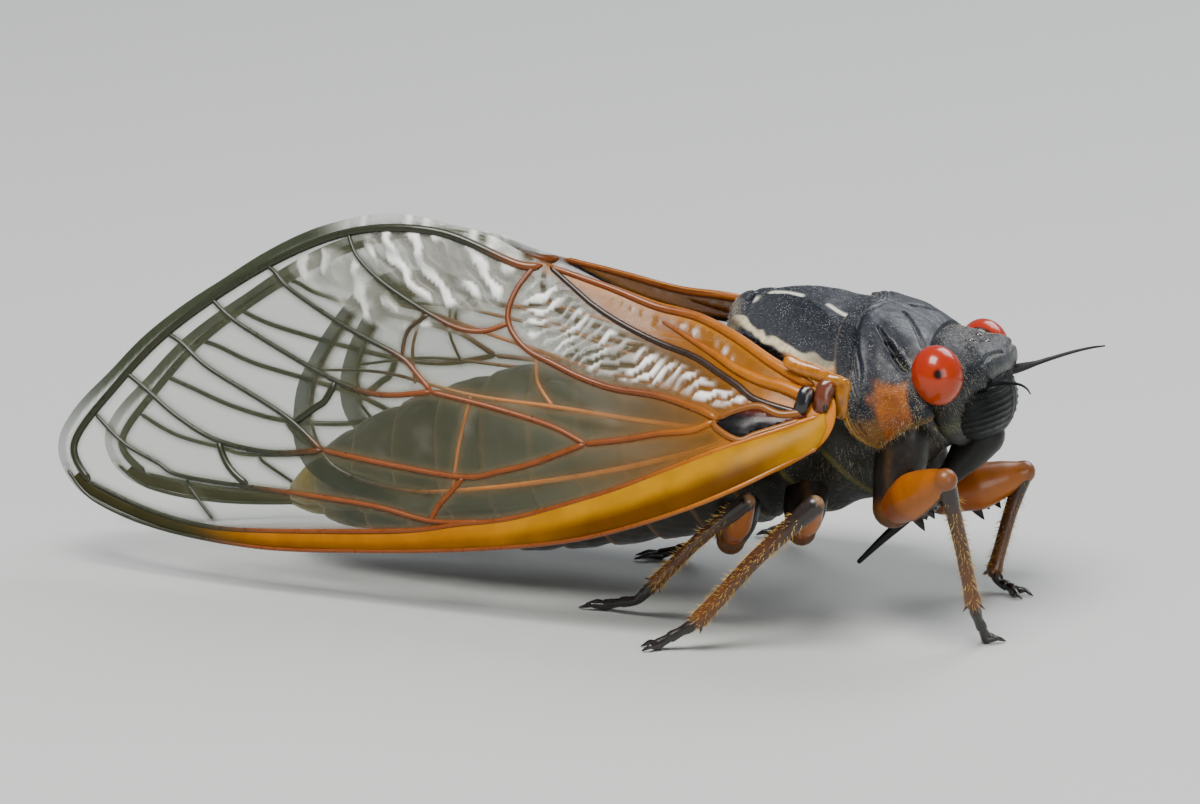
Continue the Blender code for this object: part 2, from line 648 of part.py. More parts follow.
def spline_route(points, spacing, closed=False):
    """Even samples of a smooth curve through a few side-view points."""
    places = [Vector((p[0], p[1], 0.0)) for p in points]
    count = len(places)
    dense = []
    for i in range(count if closed else count - 1):
        if closed:
            before, here, there, after = (places[(i + k) % count] for k in (-1, 0, 1, 2))
        else:
            before, here = places[max(i - 1, 0)], places[i]
            there, after = places[i + 1], places[min(i + 2, count - 1)]
        dense += interpolate_bezier(here, here + (there - before) / 6.0,
                                    there - (after - here) / 6.0, there, 12)[:-1]
    dense.append(places[0] if closed else places[-1])
    lengths = [0.0]
    for a, b in zip(dense, dense[1:]):
        lengths.append(lengths[-1] + (b - a).length)
    steps = max(1, round(lengths[-1] / spacing))
    marks = [lengths[-1] * n / steps for n in range(steps + (0 if closed else 1))]
    xs = np.interp(marks, lengths, [p.x for p in dense])
    ys = np.interp(marks, lengths, [p.y for p in dense])
    return np.column_stack((xs, ys))


def distance_to_route(places, route):
    """Shortest distance from each side-view place to a polyline."""
    best = np.full(len(places), 1e9)
    for a, b in zip(route, route[1:]):
        leg = b - a
        share = np.clip(((places - a) @ leg) / (leg @ leg), 0.0, 1.0)
        best = np.minimum(best, np.linalg.norm(places - a - share[:, None] * leg, axis=1))
    return best


def inside_outline(place, outline):
    """Tell whether a side-view place lies inside a closed outline."""
    x, y = place
    inside = False
    for (x1, y1), (x2, y2) in zip(outline, np.roll(outline, -1, axis=0)):
        if (y1 > y) != (y2 > y) and x < x1 + (y - y1) * (x2 - x1) / (y2 - y1):
            inside = not inside
    return inside


def wing_places(outline, routes, spacing):
    """Side-view vertices of a wing: its rim, its veins, their flanks and a loose fill."""
    rim = spline_route(outline, spacing, closed=True)
    places = [tuple(p) for p in rim]
    edges = [(k, (k + 1) % len(rim)) for k in range(len(rim))]

    def nearest(place):
        gaps = np.linalg.norm(np.array(places) - place, axis=1)
        index = int(np.argmin(gaps))
        return index, gaps[index]

    for half_width, points in routes:
        previous = None
        for place in spline_route(points, spacing):
            index, gap = nearest(place)
            if gap > 0.42:
                places.append(tuple(place))
                index = len(places) - 1
            if previous is not None and previous != index:
                edges.append((previous, index))
            previous = index
    for half_width, points in routes:
        route = spline_route(points, spacing)
        middles = (route[1:] + route[:-1]) / 2.0
        legs = route[1:] - route[:-1]
        across = np.column_stack((-legs[:, 1], legs[:, 0])) / np.linalg.norm(legs, axis=1)[:, None]
        for sign in (-1.0, 1.0):
            for place in middles + sign * half_width * across:
                clear = nearest(place)[1] > 0.75 * half_width
                if clear and inside_outline(place, rim):
                    places.append(tuple(place))
    low, high = rim.min(axis=0), rim.max(axis=0)
    step = spacing * 1.6
    for row, y in enumerate(np.arange(low[1] + step / 2, high[1], step * 0.87)):
        for x in np.arange(low[0] + (row % 2) * step / 2, high[0], step):
            if nearest((x, y))[1] > 0.62 * step and inside_outline((x, y), rim):
                places.append((x, y))
    return places, edges, len(rim)


def make_wing(name, outline, veins, inset, spacing, sign, surface, parts):
    """A wing as a thin curved vane with its veins raised in its own surface."""
    routes = list(veins.values())
    places, edges, rim_count = wing_places(outline, routes, spacing)
    flat = delaunay_2d_cdt([Vector(p) for p in places], edges, [list(range(rim_count))], 1, 1e-4)
    spots = np.array([tuple(v) for v in flat[0]])
    triangles = flat[2]
    rise = np.zeros(len(spots))
    for half_width, points in routes:
        away = distance_to_route(spots, spline_route(points, spacing / 4.0))
        rise = np.maximum(rise, np.clip(1.0 - away / half_width, 0.0, 1.0))
    outer, inner = [], []
    for (back, height), ridge in zip(spots, rise):
        x = WING_ROOT_X - back
        if sign > 0.0:
            height -= LEFT_DROOP[0] * smooth_step(back, *LEFT_DROOP[1:])
        normal = wing_normal(x, height)
        middle = Vector((x, wing_side(x, height), height)) - normal * inset
        if sign > 0.0:
            closing = LEFT_CLOSING[0] * smooth_step(back, *LEFT_CLOSING[1:])
            middle.y -= closing * (WING_TOP - height) / WING_DEPTH
        thickness = MEMBRANE + (TIP_MEMBRANE - MEMBRANE) * smooth_step(back, 14.0, 34.0)
        for side, amount in ((outer, thickness / 2.0 + VEIN_RISE * ridge),
                             (inner, -thickness / 2.0 - VEIN_RISE_INSIDE * ridge)):
            place = middle + normal * amount
            side.append((place.x, sign * place.y, place.z))
    count = len(outer)
    faces = [tuple(tri) for tri in triangles]
    faces += [tuple(count + k for k in reversed(tri)) for tri in triangles]
    uses = {}
    for tri in triangles:
        for a, b in zip(tri, list(tri[1:]) + [tri[0]]):
            uses.setdefault((min(a, b), max(a, b)), []).append((a, b))
    for used in uses.values():
        if len(used) == 1:
            a, b = used[0]
            faces.append((b, a, a + count))
            faces.append((b, a + count, b + count))
    made = new_object(name, outer + inner, faces, surface, parts)
    smooth_round(made, 50.0)
    return made


def make_wings(parts):
    """Both pairs of wings, folded like a roof over the abdomen."""
    for label, sign in (("right", -1.0), ("left", 1.0)):
        make_wing("forewing_" + label, FOREWING_OUTLINE, FOREWING_VEINS, 0.0, 1.25, sign,
                  "wing_membrane", parts)
        make_wing("hindwing_" + label, HINDWING_OUTLINE, HINDWING_VEINS, HINDWING_INSET, 1.6,
                  sign, "wing_membrane", parts)


def mirrored(route):
    """The same route on the other side of the body."""
    return tuple((x, -y, z) for x, y, z in route)


def femur_route(root, knee):
    """Root, swollen middle and knee of a femur."""
    root, knee = Vector(root), Vector(knee)
    return (root, root.lerp(knee, 0.42), knee)


def spikes_under(femur, root, knee, sizes, parts):
    """Teeth along the lower edge of a fore femur."""
    root, knee = Vector(root), Vector(knee)
    down = Vector((0.15, 0.0, -1.0))
    ahead = (knee - root).normalized()
    down = (down - ahead * down.dot(ahead)).normalized()
    teeth = []
    for share, length, depth in sizes:
        base = root.lerp(knee, share) + down * depth
        tip = base + (down * 0.9 + ahead * 0.25) * length
        teeth.append(limb("tooth", (base - down * 0.25, base.lerp(tip, 0.55), tip),
                          (0.3, 0.2, 0.07), 6, "claw_black", parts))
    fuse(femur, teeth)


def make_leg(label, route, parts, body_rooms):
    """Coxa, femur, tibia and tarsus of one leg, each cut clear of the one before."""
    kind = label.split("_")[0]
    hip, coxa_end, knee, ankle, heel, sole, toe = (Vector(p) for p in route)
    coxa_radii = COXA_RADII[kind]
    coxa = limb("coxa_" + label, (hip, coxa_end), coxa_radii, 14, "brown_cuticle", parts)
    carve(coxa, body_rooms())
    smooth_round(coxa)

    femur_path = femur_route(coxa_end, knee)
    femur = limb("femur_" + label, femur_path, FEMUR_RADII[kind], 12, "orange_cuticle", parts)
    carve(femur, [limb("coxa_room", (hip, coxa_end), coxa_radii, 14, "brown_cuticle", parts, GAP)])
    if kind == "fore":
        spikes_under(femur, coxa_end, knee, ((0.32, 0.75, 0.8), (0.56, 0.55, 0.72)), parts)
    smooth_round(femur)

    tibia_path = (knee, knee.lerp(ankle, 0.5) + Vector((0.0, 0.0, TIBIA_BOW)), ankle)
    tibia = limb("tibia_" + label, tibia_path, TIBIA_RADII[kind], 10, "brown_cuticle", parts)
    carve(tibia, [limb("femur_room", femur_path, FEMUR_RADII[kind], 12, "orange_cuticle",
                       parts, GAP)])
    if kind == "hind":
        spurs = []
        outward = Vector((0.0, math.copysign(1.0, ankle.y), 0.25)).normalized()
        ahead = (ankle - knee).normalized()
        for n, share in enumerate((0.5, 0.68, 0.86)):
            base = knee.lerp(ankle, share)
            tip = base + (outward * (1.0 if n % 2 else -0.6) + ahead * 0.7) * 0.75
            spurs.append(limb("spur", (base, base.lerp(tip, 0.6), tip), (0.16, 0.11, 0.04), 6,
                              "brown_cuticle", parts))
        fuse(tibia, spurs)
    smooth_round(tibia)

    make_tarsus(label, kind, tibia_path, (ankle, heel, sole), toe, parts)


def make_tarsus(label, kind, tibia_path, foot_path, toe, parts):
    """Foot joints and a pair of hooked claws, with flats cut at the floor."""
    sole = foot_path[-1]
    tarsus = limb("tarsus_" + label, foot_path, (TARSUS_RADIUS,) * 3, 8, "claw_black", parts)
    across = Vector((-(toe - sole).y, (toe - sole).x, 0.0)).normalized()
    claws = []
    for sign in (-1.0, 1.0):
        middle = sole.lerp(toe, 0.55) + across * sign * CLAW_SPREAD + Vector((0.0, 0.0, 0.1))
        tip = toe + across * sign * CLAW_SPREAD * 1.15
        claws.append(limb("claw", (sole + across * sign * 0.08, middle, tip),
                          (0.2, CLAW_RADIUS, 0.07), 6, "claw_black", parts))
    fuse(tarsus, claws)
    carve(tarsus, [limb("tibia_room", tibia_path, TIBIA_RADII[kind], 10, "brown_cuticle",
                        parts, GAP)])
    slice_off(tarsus, (0.0, 0.0, 0.0), Vector((0.0, 0.0, -1.0)))
    smooth_round(tarsus)


def make_legs(parts):
    """Six legs; the hidden middle and hind legs of the left side mirror the right ones."""
    def rooms():
        return [
            room_for("thorax_room", PTEROTHORAX_PROFILE, parts),
            room_for("prothorax_room", PROTHORAX_PROFILE, parts),
            body_loft("abdomen_room",
                      [(a, w + GAP, t + GAP, b - GAP, above, below) for a, w, t, b, above, below
                       in (abdomen_section(s, 0.0) for s in (-9.0, -6.0, -3.2))],
                      28, "black_cuticle", parts, 0.92),
        ]

    legs = dict(LEGS)
    legs["mid_left"] = mirrored(LEGS["mid_right"])
    legs["hind_left"] = mirrored(LEGS["hind_right"])
    for label, route in legs.items():
        make_leg(label, route, parts, rooms)


def main():
    parts = clean_scene()
    make_abdomen(parts)
    split_level("mesonotum", "pterothorax", PTEROTHORAX_PROFILE, MESONOTUM_SEAM,
                "black_cuticle", "black_cuticle", parts)
    pronotum, _ = split_level("pronotum", "prosternum", PROTHORAX_PROFILE, PRONOTUM_SEAM,
                              "black_cuticle", "black_cuticle", parts)
    carve(pronotum, eye_rooms(parts))
    smooth_round(pronotum)
    make_head(parts)
    make_wings(parts)
    make_legs(parts)


main()
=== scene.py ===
"""Looks of a periodical cicada at rest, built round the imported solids.

Sizes are in millimetres until MM turns them into metres. The insect looks along +X and its
left side is +Y. Places on a folded wing are given in side view: how far behind the wing's
root, and how high over the floor.
"""

import bpy
import bmesh
import math
import numpy as np
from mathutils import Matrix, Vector
from mathutils.geometry import delaunay_2d_cdt, interpolate_bezier


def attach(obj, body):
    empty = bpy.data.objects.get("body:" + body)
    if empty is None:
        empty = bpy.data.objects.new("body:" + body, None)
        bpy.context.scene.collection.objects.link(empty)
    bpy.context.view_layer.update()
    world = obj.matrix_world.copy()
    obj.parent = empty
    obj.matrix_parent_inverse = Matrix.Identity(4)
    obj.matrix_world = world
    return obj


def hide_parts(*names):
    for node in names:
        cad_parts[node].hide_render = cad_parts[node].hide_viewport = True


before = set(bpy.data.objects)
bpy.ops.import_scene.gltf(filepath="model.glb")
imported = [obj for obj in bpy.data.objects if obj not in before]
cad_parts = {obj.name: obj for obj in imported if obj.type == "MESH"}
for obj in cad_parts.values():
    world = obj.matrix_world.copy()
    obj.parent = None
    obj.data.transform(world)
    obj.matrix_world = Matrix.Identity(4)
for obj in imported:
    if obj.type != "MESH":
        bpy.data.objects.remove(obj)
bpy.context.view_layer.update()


# Forewing membranes: the clear skin of the large front wings, folded like a roof. In life it
# is a hundredth of a millimetre thick, tinted amber near the root, grey-green further out and
# creased across its rear cells. It grows on the wing's veins and follows their curved plane.
MM = 0.001
WING_ROOT_X = 12.5
WING_TOP = 16.0
WING_DEPTH = 14.0
WING_BULGE = 0.4
SKIN_HALF = 0.025              # half the drawn thickness of a membrane
RIM_SHRINK = 0.997             # keeps the margin a hair's breadth inside the solid wing's
SHEET_SPACING = 0.13
MILKY_SHEEN_SHARE = 0.22             # how much painted milky sheen the wide creased cells get between their crests
STAIN_REACH = 0.2              # how far a vein's colour runs out into the skin beside it
# Colour of the painted highlights on the forewing's creases and upper hem.
HIGHLIGHT_WHITE = (0.97, 0.97, 0.95)
# Noise between these values spreads a surface's tone and roughness over their ranges.
NOISE_RANGE = (0.3, 0.7)
DUST_GRAIN = 12000.0
DUST_PATCHES = 1400.0
DUST_COLOUR = (0.55, 0.57, 0.62, 1.0)
SIDES = (("right", -1.0), ("left", 1.0))
# The left wings hang a little lower towards their tips than the right ones, and close in there:
# how far at most, and over which distances behind the wing root.
LEFT_DROOP = (1.3, 8.0, 30.0)
LEFT_CLOSING = (2.2, 25.5, 34.5)
# World place along X, and the forewing's distance from the midline at its top and its foot.
WING_SPREAD = (
    (-23.0, -1.2, 4.1), (-14.0, -0.9, 5.4), (-7.0, 0.42, 6.4), (0.0, -0.8, 7.7),
    (5.0, -1.9, 9.2), (9.0, -1.5, 10.6), (13.0, 1.2, 8.6),
)
FOREWING_OUTLINE = (
    (-0.2, 10.2), (1.1, 10.7), (4.4, 12.0), (6.6, 12.55), (8.4, 12.8), (10.8, 13.4), (13.3, 14.0),
    (14.4, 14.35), (16.4, 15.1), (19.7, 15.6), (22.0, 15.3), (24.9, 14.2), (27.9, 12.3),
    (30.6, 10.3), (32.7, 8.1), (34.1, 6.5), (34.6, 5.2), (34.1, 3.9), (32.6, 2.9), (29.4, 2.1),
    (24.8, 1.85), (20.4, 2.2), (15.3, 2.85), (10.8, 3.7), (7.2, 4.9), (3.4, 6.6), (0.6, 7.95),
    (-0.35, 9.0),
)
# Vein name: radius at its start and end, then its route in side view.
FOREWING_VEINS = {
    "costa": (0.1, 0.08, ((0.2, 8.3), (3.4, 6.65), (7.2, 4.95), (10.8, 3.78), (15.3, 2.92),
                         (20.4, 2.28), (24.8, 1.95), (29.4, 2.2), (32.6, 3.0), (34.0, 4.1))),
    "subcosta": (0.14, 0.09, ((0.3, 9.45), (1.5, 9.0), (4.2, 8.0), (8.5, 6.05), (12.9, 4.45),
                             (15.5, 3.9), (18.1, 3.35), (24.7, 2.62), (27.5, 2.55), (30.1, 2.92),
                             (32.9, 3.72))),
    "ambient": (0.16, 0.19, ((32.9, 3.72), (33.8, 5.2), (32.2, 7.6), (29.7, 10.3), (25.7, 13.1),
                             (21.9, 14.75), (18.2, 15.0), (14.6, 13.9), (13.5, 13.9))),
    "second_anal": (0.27, 0.12, ((0.75, 10.55), (1.5, 10.75), (2.8, 11.2), (4.4, 11.8),
                                 (6.4, 12.35), (8.4, 12.6), (10.6, 13.2), (13.2, 13.85))),
    "anal_strap": (0.34, 0.07, ((0.8, 10.05), (1.9, 10.35), (3.0, 10.5), (4.1, 10.75),
                                (5.1, 11.1), (6.6, 11.6), (8.0, 12.1))),
    "claval": (0.17, 0.11, ((1.2, 9.5), (3.1, 9.85), (4.0, 10.25), (5.0, 10.6), (6.2, 11.0),
                           (7.9, 11.35), (9.5, 11.85), (10.9, 12.45), (12.0, 13.1),
                           (13.2, 13.85))),
    "basal_rear": (0.22, 0.16, ((0.9, 9.55), (1.9, 9.4), (2.9, 9.62), (3.8, 9.4), (4.6, 9.0))),
    "basal_front": (0.16, 0.15, ((1.0, 9.25), (1.9, 8.95), (2.8, 8.65), (3.5, 8.4), (4.6, 8.75),
                                 (4.7, 9.0))),
    "cubitus": (0.17, 0.11, ((4.6, 9.0), (5.3, 9.2), (7.4, 9.5), (9.5, 9.6), (11.0, 9.9),
                             (12.4, 10.35), (13.5, 10.75), (14.3, 11.4), (14.6, 12.1),
                             (14.4, 13.0), (13.8, 13.9))),
    "cubitus_1": (0.11, 0.08, ((14.5, 11.7), (15.5, 11.35), (16.6, 11.4), (17.9, 11.85),
                               (19.8, 12.7), (20.9, 13.3), (21.7, 13.9), (22.2, 14.65))),
    "media": (0.15, 0.12, ((4.7, 8.95), (5.6, 8.5), (7.1, 8.2), (8.5, 7.85), (10.3, 7.5))),
    "media_3_4": (0.11, 0.1, ((10.3, 7.5), (11.3, 7.85), (12.3, 8.1), (14.6, 8.5), (17.4, 8.9))),
    "media_4": (0.12, 0.1, ((17.4, 8.9), (18.1, 9.5), (19.0, 10.15), (20.9, 10.8), (22.7, 11.45),
                            (24.7, 12.3), (25.4, 12.8), (25.9, 13.05))),
    "media_3": (0.12, 0.1, ((17.4, 8.9), (19.5, 8.6), (21.3, 8.8), (23.6, 9.5), (26.8, 10.7),
                            (28.2, 11.55))),
    "cross_cubital": (0.08, 0.08, ((18.0, 11.85), (18.7, 11.3), (18.9, 10.8), (18.9, 10.15))),
    "media_1_2": (0.12, 0.1, ((10.3, 7.5), (12.4, 6.6), (13.8, 6.15), (15.5, 5.75), (18.8, 5.9),
                              (22.1, 6.15))),
    "media_2": (0.12, 0.1, ((22.1, 6.15), (23.4, 7.0), (24.7, 7.6), (27.8, 8.8), (29.3, 9.7),
                            (30.0, 10.0))),
    "media_1": (0.12, 0.1, ((22.1, 6.15), (24.4, 5.8), (27.0, 6.0), (29.0, 6.75), (30.8, 7.8),
                            (31.7, 8.3))),
    "cross_medial": (0.15, 0.15, ((21.8, 8.9), (22.2, 8.1), (22.6, 7.8), (23.5, 7.1))),
    "nodal": (0.1, 0.1, ((15.5, 5.75), (16.0, 5.1), (16.5, 4.5), (16.8, 3.85))),
    "radius": (0.1, 0.09, ((14.6, 4.1), (16.8, 3.9), (19.4, 4.2), (22.9, 4.3), (28.3, 4.4),
                            (29.8, 4.85), (31.5, 5.5), (32.9, 6.5))),
    "cross_radial_1": (0.15, 0.15, ((27.0, 6.0), (26.6, 5.3), (26.1, 4.8), (25.4, 4.4))),
    "cross_radial_2": (0.07, 0.07, ((28.3, 4.4), (28.2, 4.1), (27.7, 3.6), (26.9, 2.85))),
}
CLAVUS = ((1.2, 9.8), (4.0, 10.3), (7.9, 11.4), (10.9, 12.45), (13.2, 13.85), (10.6, 13.25),
          (8.4, 12.65), (4.4, 11.85), (1.2, 10.6))
# Cells of the wing that are creased: outline, lean of the creases, spacing and strength.
CREASED_CELLS = (
    (((2.9, 9.75), (4.7, 9.35), (7.4, 9.7), (9.5, 9.8), (11.0, 10.1), (12.4, 10.6), (13.5, 11.0),
      (14.1, 11.6), (14.3, 12.4), (13.9, 13.3), (13.0, 13.4), (10.9, 12.2), (7.9, 11.1),
      (5.0, 10.4)), math.radians(30.0), 0.42, 1.0),
    (((14.9, 12.2), (16.4, 11.8), (17.8, 12.1), (19.6, 12.9), (21.2, 13.9), (21.6, 14.9),
      (20.0, 15.4), (17.0, 15.1), (14.6, 14.2)), math.radians(128.0), 0.95, 0.9),
    (((4.4, 10.9), (6.6, 11.5), (9.0, 12.1), (11.6, 13.1), (10.4, 13.0), (8.4, 12.4),
      (6.4, 12.1), (4.6, 11.5)), math.radians(75.0), 0.6, 0.5),
    (((15.0, 10.9), (17.6, 11.2), (19.4, 10.9), (22.6, 11.9), (25.0, 13.0), (23.0, 14.2),
      (21.2, 13.6), (19.0, 12.1)), math.radians(122.0), 1.1, 0.6),
)


def soft_step(value, low, high):
    """Rise from 0 to 1 between low and high."""
    t = np.clip((np.asarray(value, float) - low) / (high - low), 0.0, 1.0)
    return t * t * (3.0 - 2.0 * t)


def hump(value, middle, width):
    """A rounded hump of height 1 round a middle value."""
    return np.exp(-((value - middle) / width) ** 2)


def band(value, low, full, fading, gone):
    """Rise from 0 to 1 between the first two values and fall back between the last two."""
    return soft_step(value, low, full) * (1.0 - soft_step(value, fading, gone))


def read_curve(table, x, column):
    """Smooth curve through one column of a table that is sorted on its first column."""
    xs = np.array([row[0] for row in table], float)
    ys = np.array([row[column] for row in table], float)
    x = np.clip(np.asarray(x, float), xs[0], xs[-1])
    i = np.clip(np.searchsorted(xs, x, side="right") - 1, 0, len(xs) - 2)
    order = np.arange(len(xs))
    before = np.maximum(order - 1, 0)
    after = np.minimum(order + 1, len(xs) - 1)
    slopes = (ys[after] - ys[before]) / (xs[after] - xs[before])
    width = xs[i + 1] - xs[i]
    t = (x - xs[i]) / width
    return ((2 * t**3 - 3 * t**2 + 1) * ys[i] + (t**3 - 2 * t**2 + t) * width * slopes[i]
            + (3 * t**2 - 2 * t**3) * ys[i + 1] + (t**3 - t**2) * width * slopes[i + 1])


def wing_side(x, z):
    """Distance of the forewing's middle surface from the midline."""
    t = (WING_TOP - z) / WING_DEPTH
    share = t + WING_BULGE * t * (1.0 - t)
    top = read_curve(WING_SPREAD, x, 1)
    foot = read_curve(WING_SPREAD, x, 2)
    return top + (foot - top) * share


def wing_normals(x, z):
    """Outward directions of the left wing's surface."""
    step = 0.05
    slope_x = (wing_side(x + step, z) - wing_side(x - step, z)) / (2 * step)
    slope_z = (wing_side(x, z + step) - wing_side(x, z - step)) / (2 * step)
    normals = np.column_stack((-slope_x, np.ones(len(slope_x)), -slope_z))
    return normals / np.linalg.norm(normals, axis=1)[:, None]


def wing_points(spots, offset, sign):
    """World millimetres of side-view spots, moved outwards from the middle surface."""
    back = np.asarray(spots, float)[:, 0]
    x = WING_ROOT_X - back
    z = spots[:, 1] - (LEFT_DROOP[0] * soft_step(back, *LEFT_DROOP[1:]) if sign > 0.0 else 0.0)
    points = np.column_stack((x, wing_side(x, z), z))
    points += wing_normals(x, z) * np.reshape(offset, (-1, 1))
    if sign > 0.0:
        closing = LEFT_CLOSING[0] * soft_step(back, *LEFT_CLOSING[1:])
        points[:, 1] -= closing * (WING_TOP - z) / WING_DEPTH
    points[:, 1] *= sign
    return points


def run_lengths(points):
    """Length of a polyline up to each of its points."""
    return np.concatenate(([0.0], np.cumsum(np.linalg.norm(np.diff(points, axis=0), axis=1))))


def spline(points, spacing, closed=False):
    """Even samples of a smooth curve through a few side-view points."""
    places = [Vector((p[0], p[1], 0.0)) for p in points]
    count = len(places)
    dense = []
    for i in range(count if closed else count - 1):
        if closed:
            before, here, there, after = (places[(i + k) % count] for k in (-1, 0, 1, 2))
        else:
            before, here = places[max(i - 1, 0)], places[i]
            there, after = places[i + 1], places[min(i + 2, count - 1)]
        dense += interpolate_bezier(here, here + (there - before) / 6.0,
                                    there - (after - here) / 6.0, there, 12)[:-1]
    dense.append(places[0] if closed else places[-1])
    dense = np.array([(p.x, p.y) for p in dense])
    lengths = run_lengths(dense)
    steps = max(1, round(lengths[-1] / spacing))
    marks = lengths[-1] * np.arange(steps + (0 if closed else 1)) / steps
    return np.column_stack([np.interp(marks, lengths, dense[:, axis]) for axis in (0, 1)])


def distance_to(places, route):
    """Shortest distance from each place to a polyline."""
    route = np.asarray(route, float)
    best = np.full(len(places), 1e9)
    for a, b in zip(route, route[1:]):
        leg = b - a
        share = np.clip(((places - a) @ leg) / (leg @ leg), 0.0, 1.0)
        best = np.minimum(best, np.linalg.norm(places - a - share[:, None] * leg, axis=1))
    return best


def inside(places, outline):
    """Which side-view places lie inside a closed outline."""
    x, y = places[:, 0], places[:, 1]
    outline = np.asarray(outline, float)
    found = np.zeros(len(places), bool)
    for (x1, y1), (x2, y2) in zip(outline, np.roll(outline, -1, axis=0)):
        if y1 == y2:
            continue
        crossing = (y1 > y) != (y2 > y)
        found ^= crossing & (x < x1 + (y - y1) * (x2 - x1) / (y2 - y1))
    return found


def looped(route):
    """A polyline that returns to its first point."""
    return np.vstack((route, route[:1]))


def in_cell(places, outline, low, high):
    """Whether places lie in a cell, rising from 0 to 1 over a strip along its rim."""
    rim = spline(outline, 0.4, closed=True)
    return inside(places, rim) * soft_step(distance_to(places, looped(rim)), low, high)


def vein_distance(places, veins, spacing):
    """Shortest distance from each place to a wing's veins."""
    routes = [spline(points, spacing) for _, _, points in veins.values()]
    return np.min([distance_to(places, route) for route in routes], axis=0)


def sheet_spots(outline, spacing):
    """Triangulated even spots inside an outline, in side view."""
    rim = spline(outline, spacing, closed=True)
    middle = rim.mean(axis=0)
    rim = middle + (rim - middle) * RIM_SHRINK
    low, high = rim.min(axis=0), rim.max(axis=0)
    rows = []
    for n, y in enumerate(np.arange(low[1] + spacing / 2, high[1], spacing * 0.87)):
        xs = np.arange(low[0] + (n % 2) * spacing / 2, high[0], spacing)
        rows.append(np.column_stack((xs, np.full(len(xs), y))))
    fill = np.concatenate(rows)
    fill = fill[inside(fill, rim)]
    fill = fill[distance_to(fill, looped(rim)) > 0.5 * spacing]
    places = np.vstack((rim, fill))
    edges = [(k, (k + 1) % len(rim)) for k in range(len(rim))]
    flat = delaunay_2d_cdt([Vector(p) for p in places], edges, [list(range(len(rim)))], 1, 1e-5)
    return np.array([tuple(v) for v in flat[0]]), [tuple(t) for t in flat[2]]


def add_object(name, data):
    """Add an object to the scene."""
    made = bpy.data.objects.new(name, data)
    bpy.context.scene.collection.objects.link(made)
    return made


def new_mesh(name, points, faces, material):
    """Add an object from millimetre points, closed, facing outwards and smooth."""
    mesh = bpy.data.meshes.new(name)
    mesh.from_pydata([tuple(p) for p in np.asarray(points, float) * MM], [], faces)
    bm = bmesh.new()
    bm.from_mesh(mesh)
    bmesh.ops.recalc_face_normals(bm, faces=bm.faces)
    bm.to_mesh(mesh)
    bm.free()
    mesh.materials.append(material)
    mesh.shade_smooth()
    return add_object(name, mesh)


def store(mesh, name, kind, values):
    """Store a number, a vector or a colour on each vertex."""
    field = {"FLOAT": "value", "FLOAT_COLOR": "color"}.get(kind, "vector")
    layer = mesh.attributes.new(name, kind, "POINT")
    layer.data.foreach_set(field, np.asarray(values, np.float32).ravel())


def set_paint(mesh, colours):
    """Store a colour with opacity on each vertex."""
    colours = np.asarray(colours, float)
    if colours.shape[1] == 3:
        colours = np.column_stack((colours, np.ones(len(colours))))
    store(mesh, "paint", "FLOAT_COLOR", colours)


def blend(first, second, share):
    """Mix two colours, or arrays of colours, vertex by vertex."""
    share = np.reshape(share, (-1, 1))
    return np.asarray(first, float) * (1.0 - share) + np.asarray(second, float) * share


def thin_sheet(name, spots, triangles, paint, middle, half, sign, material):
    """A closed thin sheet along the wing's surface, painted alike on both faces."""
    outer = wing_points(spots, middle + half, sign)
    inner = wing_points(spots, middle - half, sign)
    count = len(spots)
    faces = list(triangles) + [tuple(count + k for k in reversed(t)) for t in triangles]
    uses = {}
    for t in triangles:
        for a, b in zip(t, t[1:] + t[:1]):
            uses.setdefault((min(a, b), max(a, b)), []).append((a, b))
    for used in uses.values():
        if len(used) == 1:
            a, b = used[0]
            faces += [(b, a, a + count), (b, a + count, b + count)]
    made = new_mesh(name, np.vstack((outer, inner)), faces, material)
    set_paint(made.data, np.vstack((paint, paint)))
    return made


def set_inputs(tree, node, values):
    """Give a node's inputs their values, or link them to the outputs of other nodes."""
    for socket, value in values.items():
        if isinstance(value, bpy.types.NodeSocket):
            tree.links.new(value, node.inputs[socket])
        else:
            node.inputs[socket].default_value = value


def add_node(tree, kind, values=None, **settings):
    """Add a node with its settings and inputs."""
    node = tree.nodes.new(kind)
    for name, value in settings.items():
        setattr(node, name, value)
    set_inputs(tree, node, values or {})
    return node


def map_range(tree, value, from_min, from_max, to_min=0.0, to_max=1.0, **settings):
    """Output that spreads one range of a value over another."""
    return add_node(tree, "ShaderNodeMapRange", {
        "Value": value, "From Min": from_min, "From Max": from_max, "To Min": to_min,
        "To Max": to_max}, **settings).outputs["Result"]


def relief_normals(tree, height, distance):
    """Output of normals that follow a height, given its size in millimetres."""
    return add_node(tree, "ShaderNodeBump", {
        "Height": height, "Distance": distance * MM}).outputs["Normal"]


def mixed_colour(tree, share, first, second):
    """Output that mixes two colours."""
    return add_node(tree, "ShaderNodeMix", {"Factor": share, "A": first, "B": second},
                    data_type="RGBA").outputs["Result"]


def new_look(name):
    """A material with its tree, the output of its places and the outputs of its paint."""
    made = bpy.data.materials.new(name)
    made.use_nodes = True
    tree = made.node_tree
    place = add_node(tree, "ShaderNodeTexCoord").outputs["Object"]
    return made, tree, place, add_node(tree, "ShaderNodeAttribute", attribute_name="paint").outputs


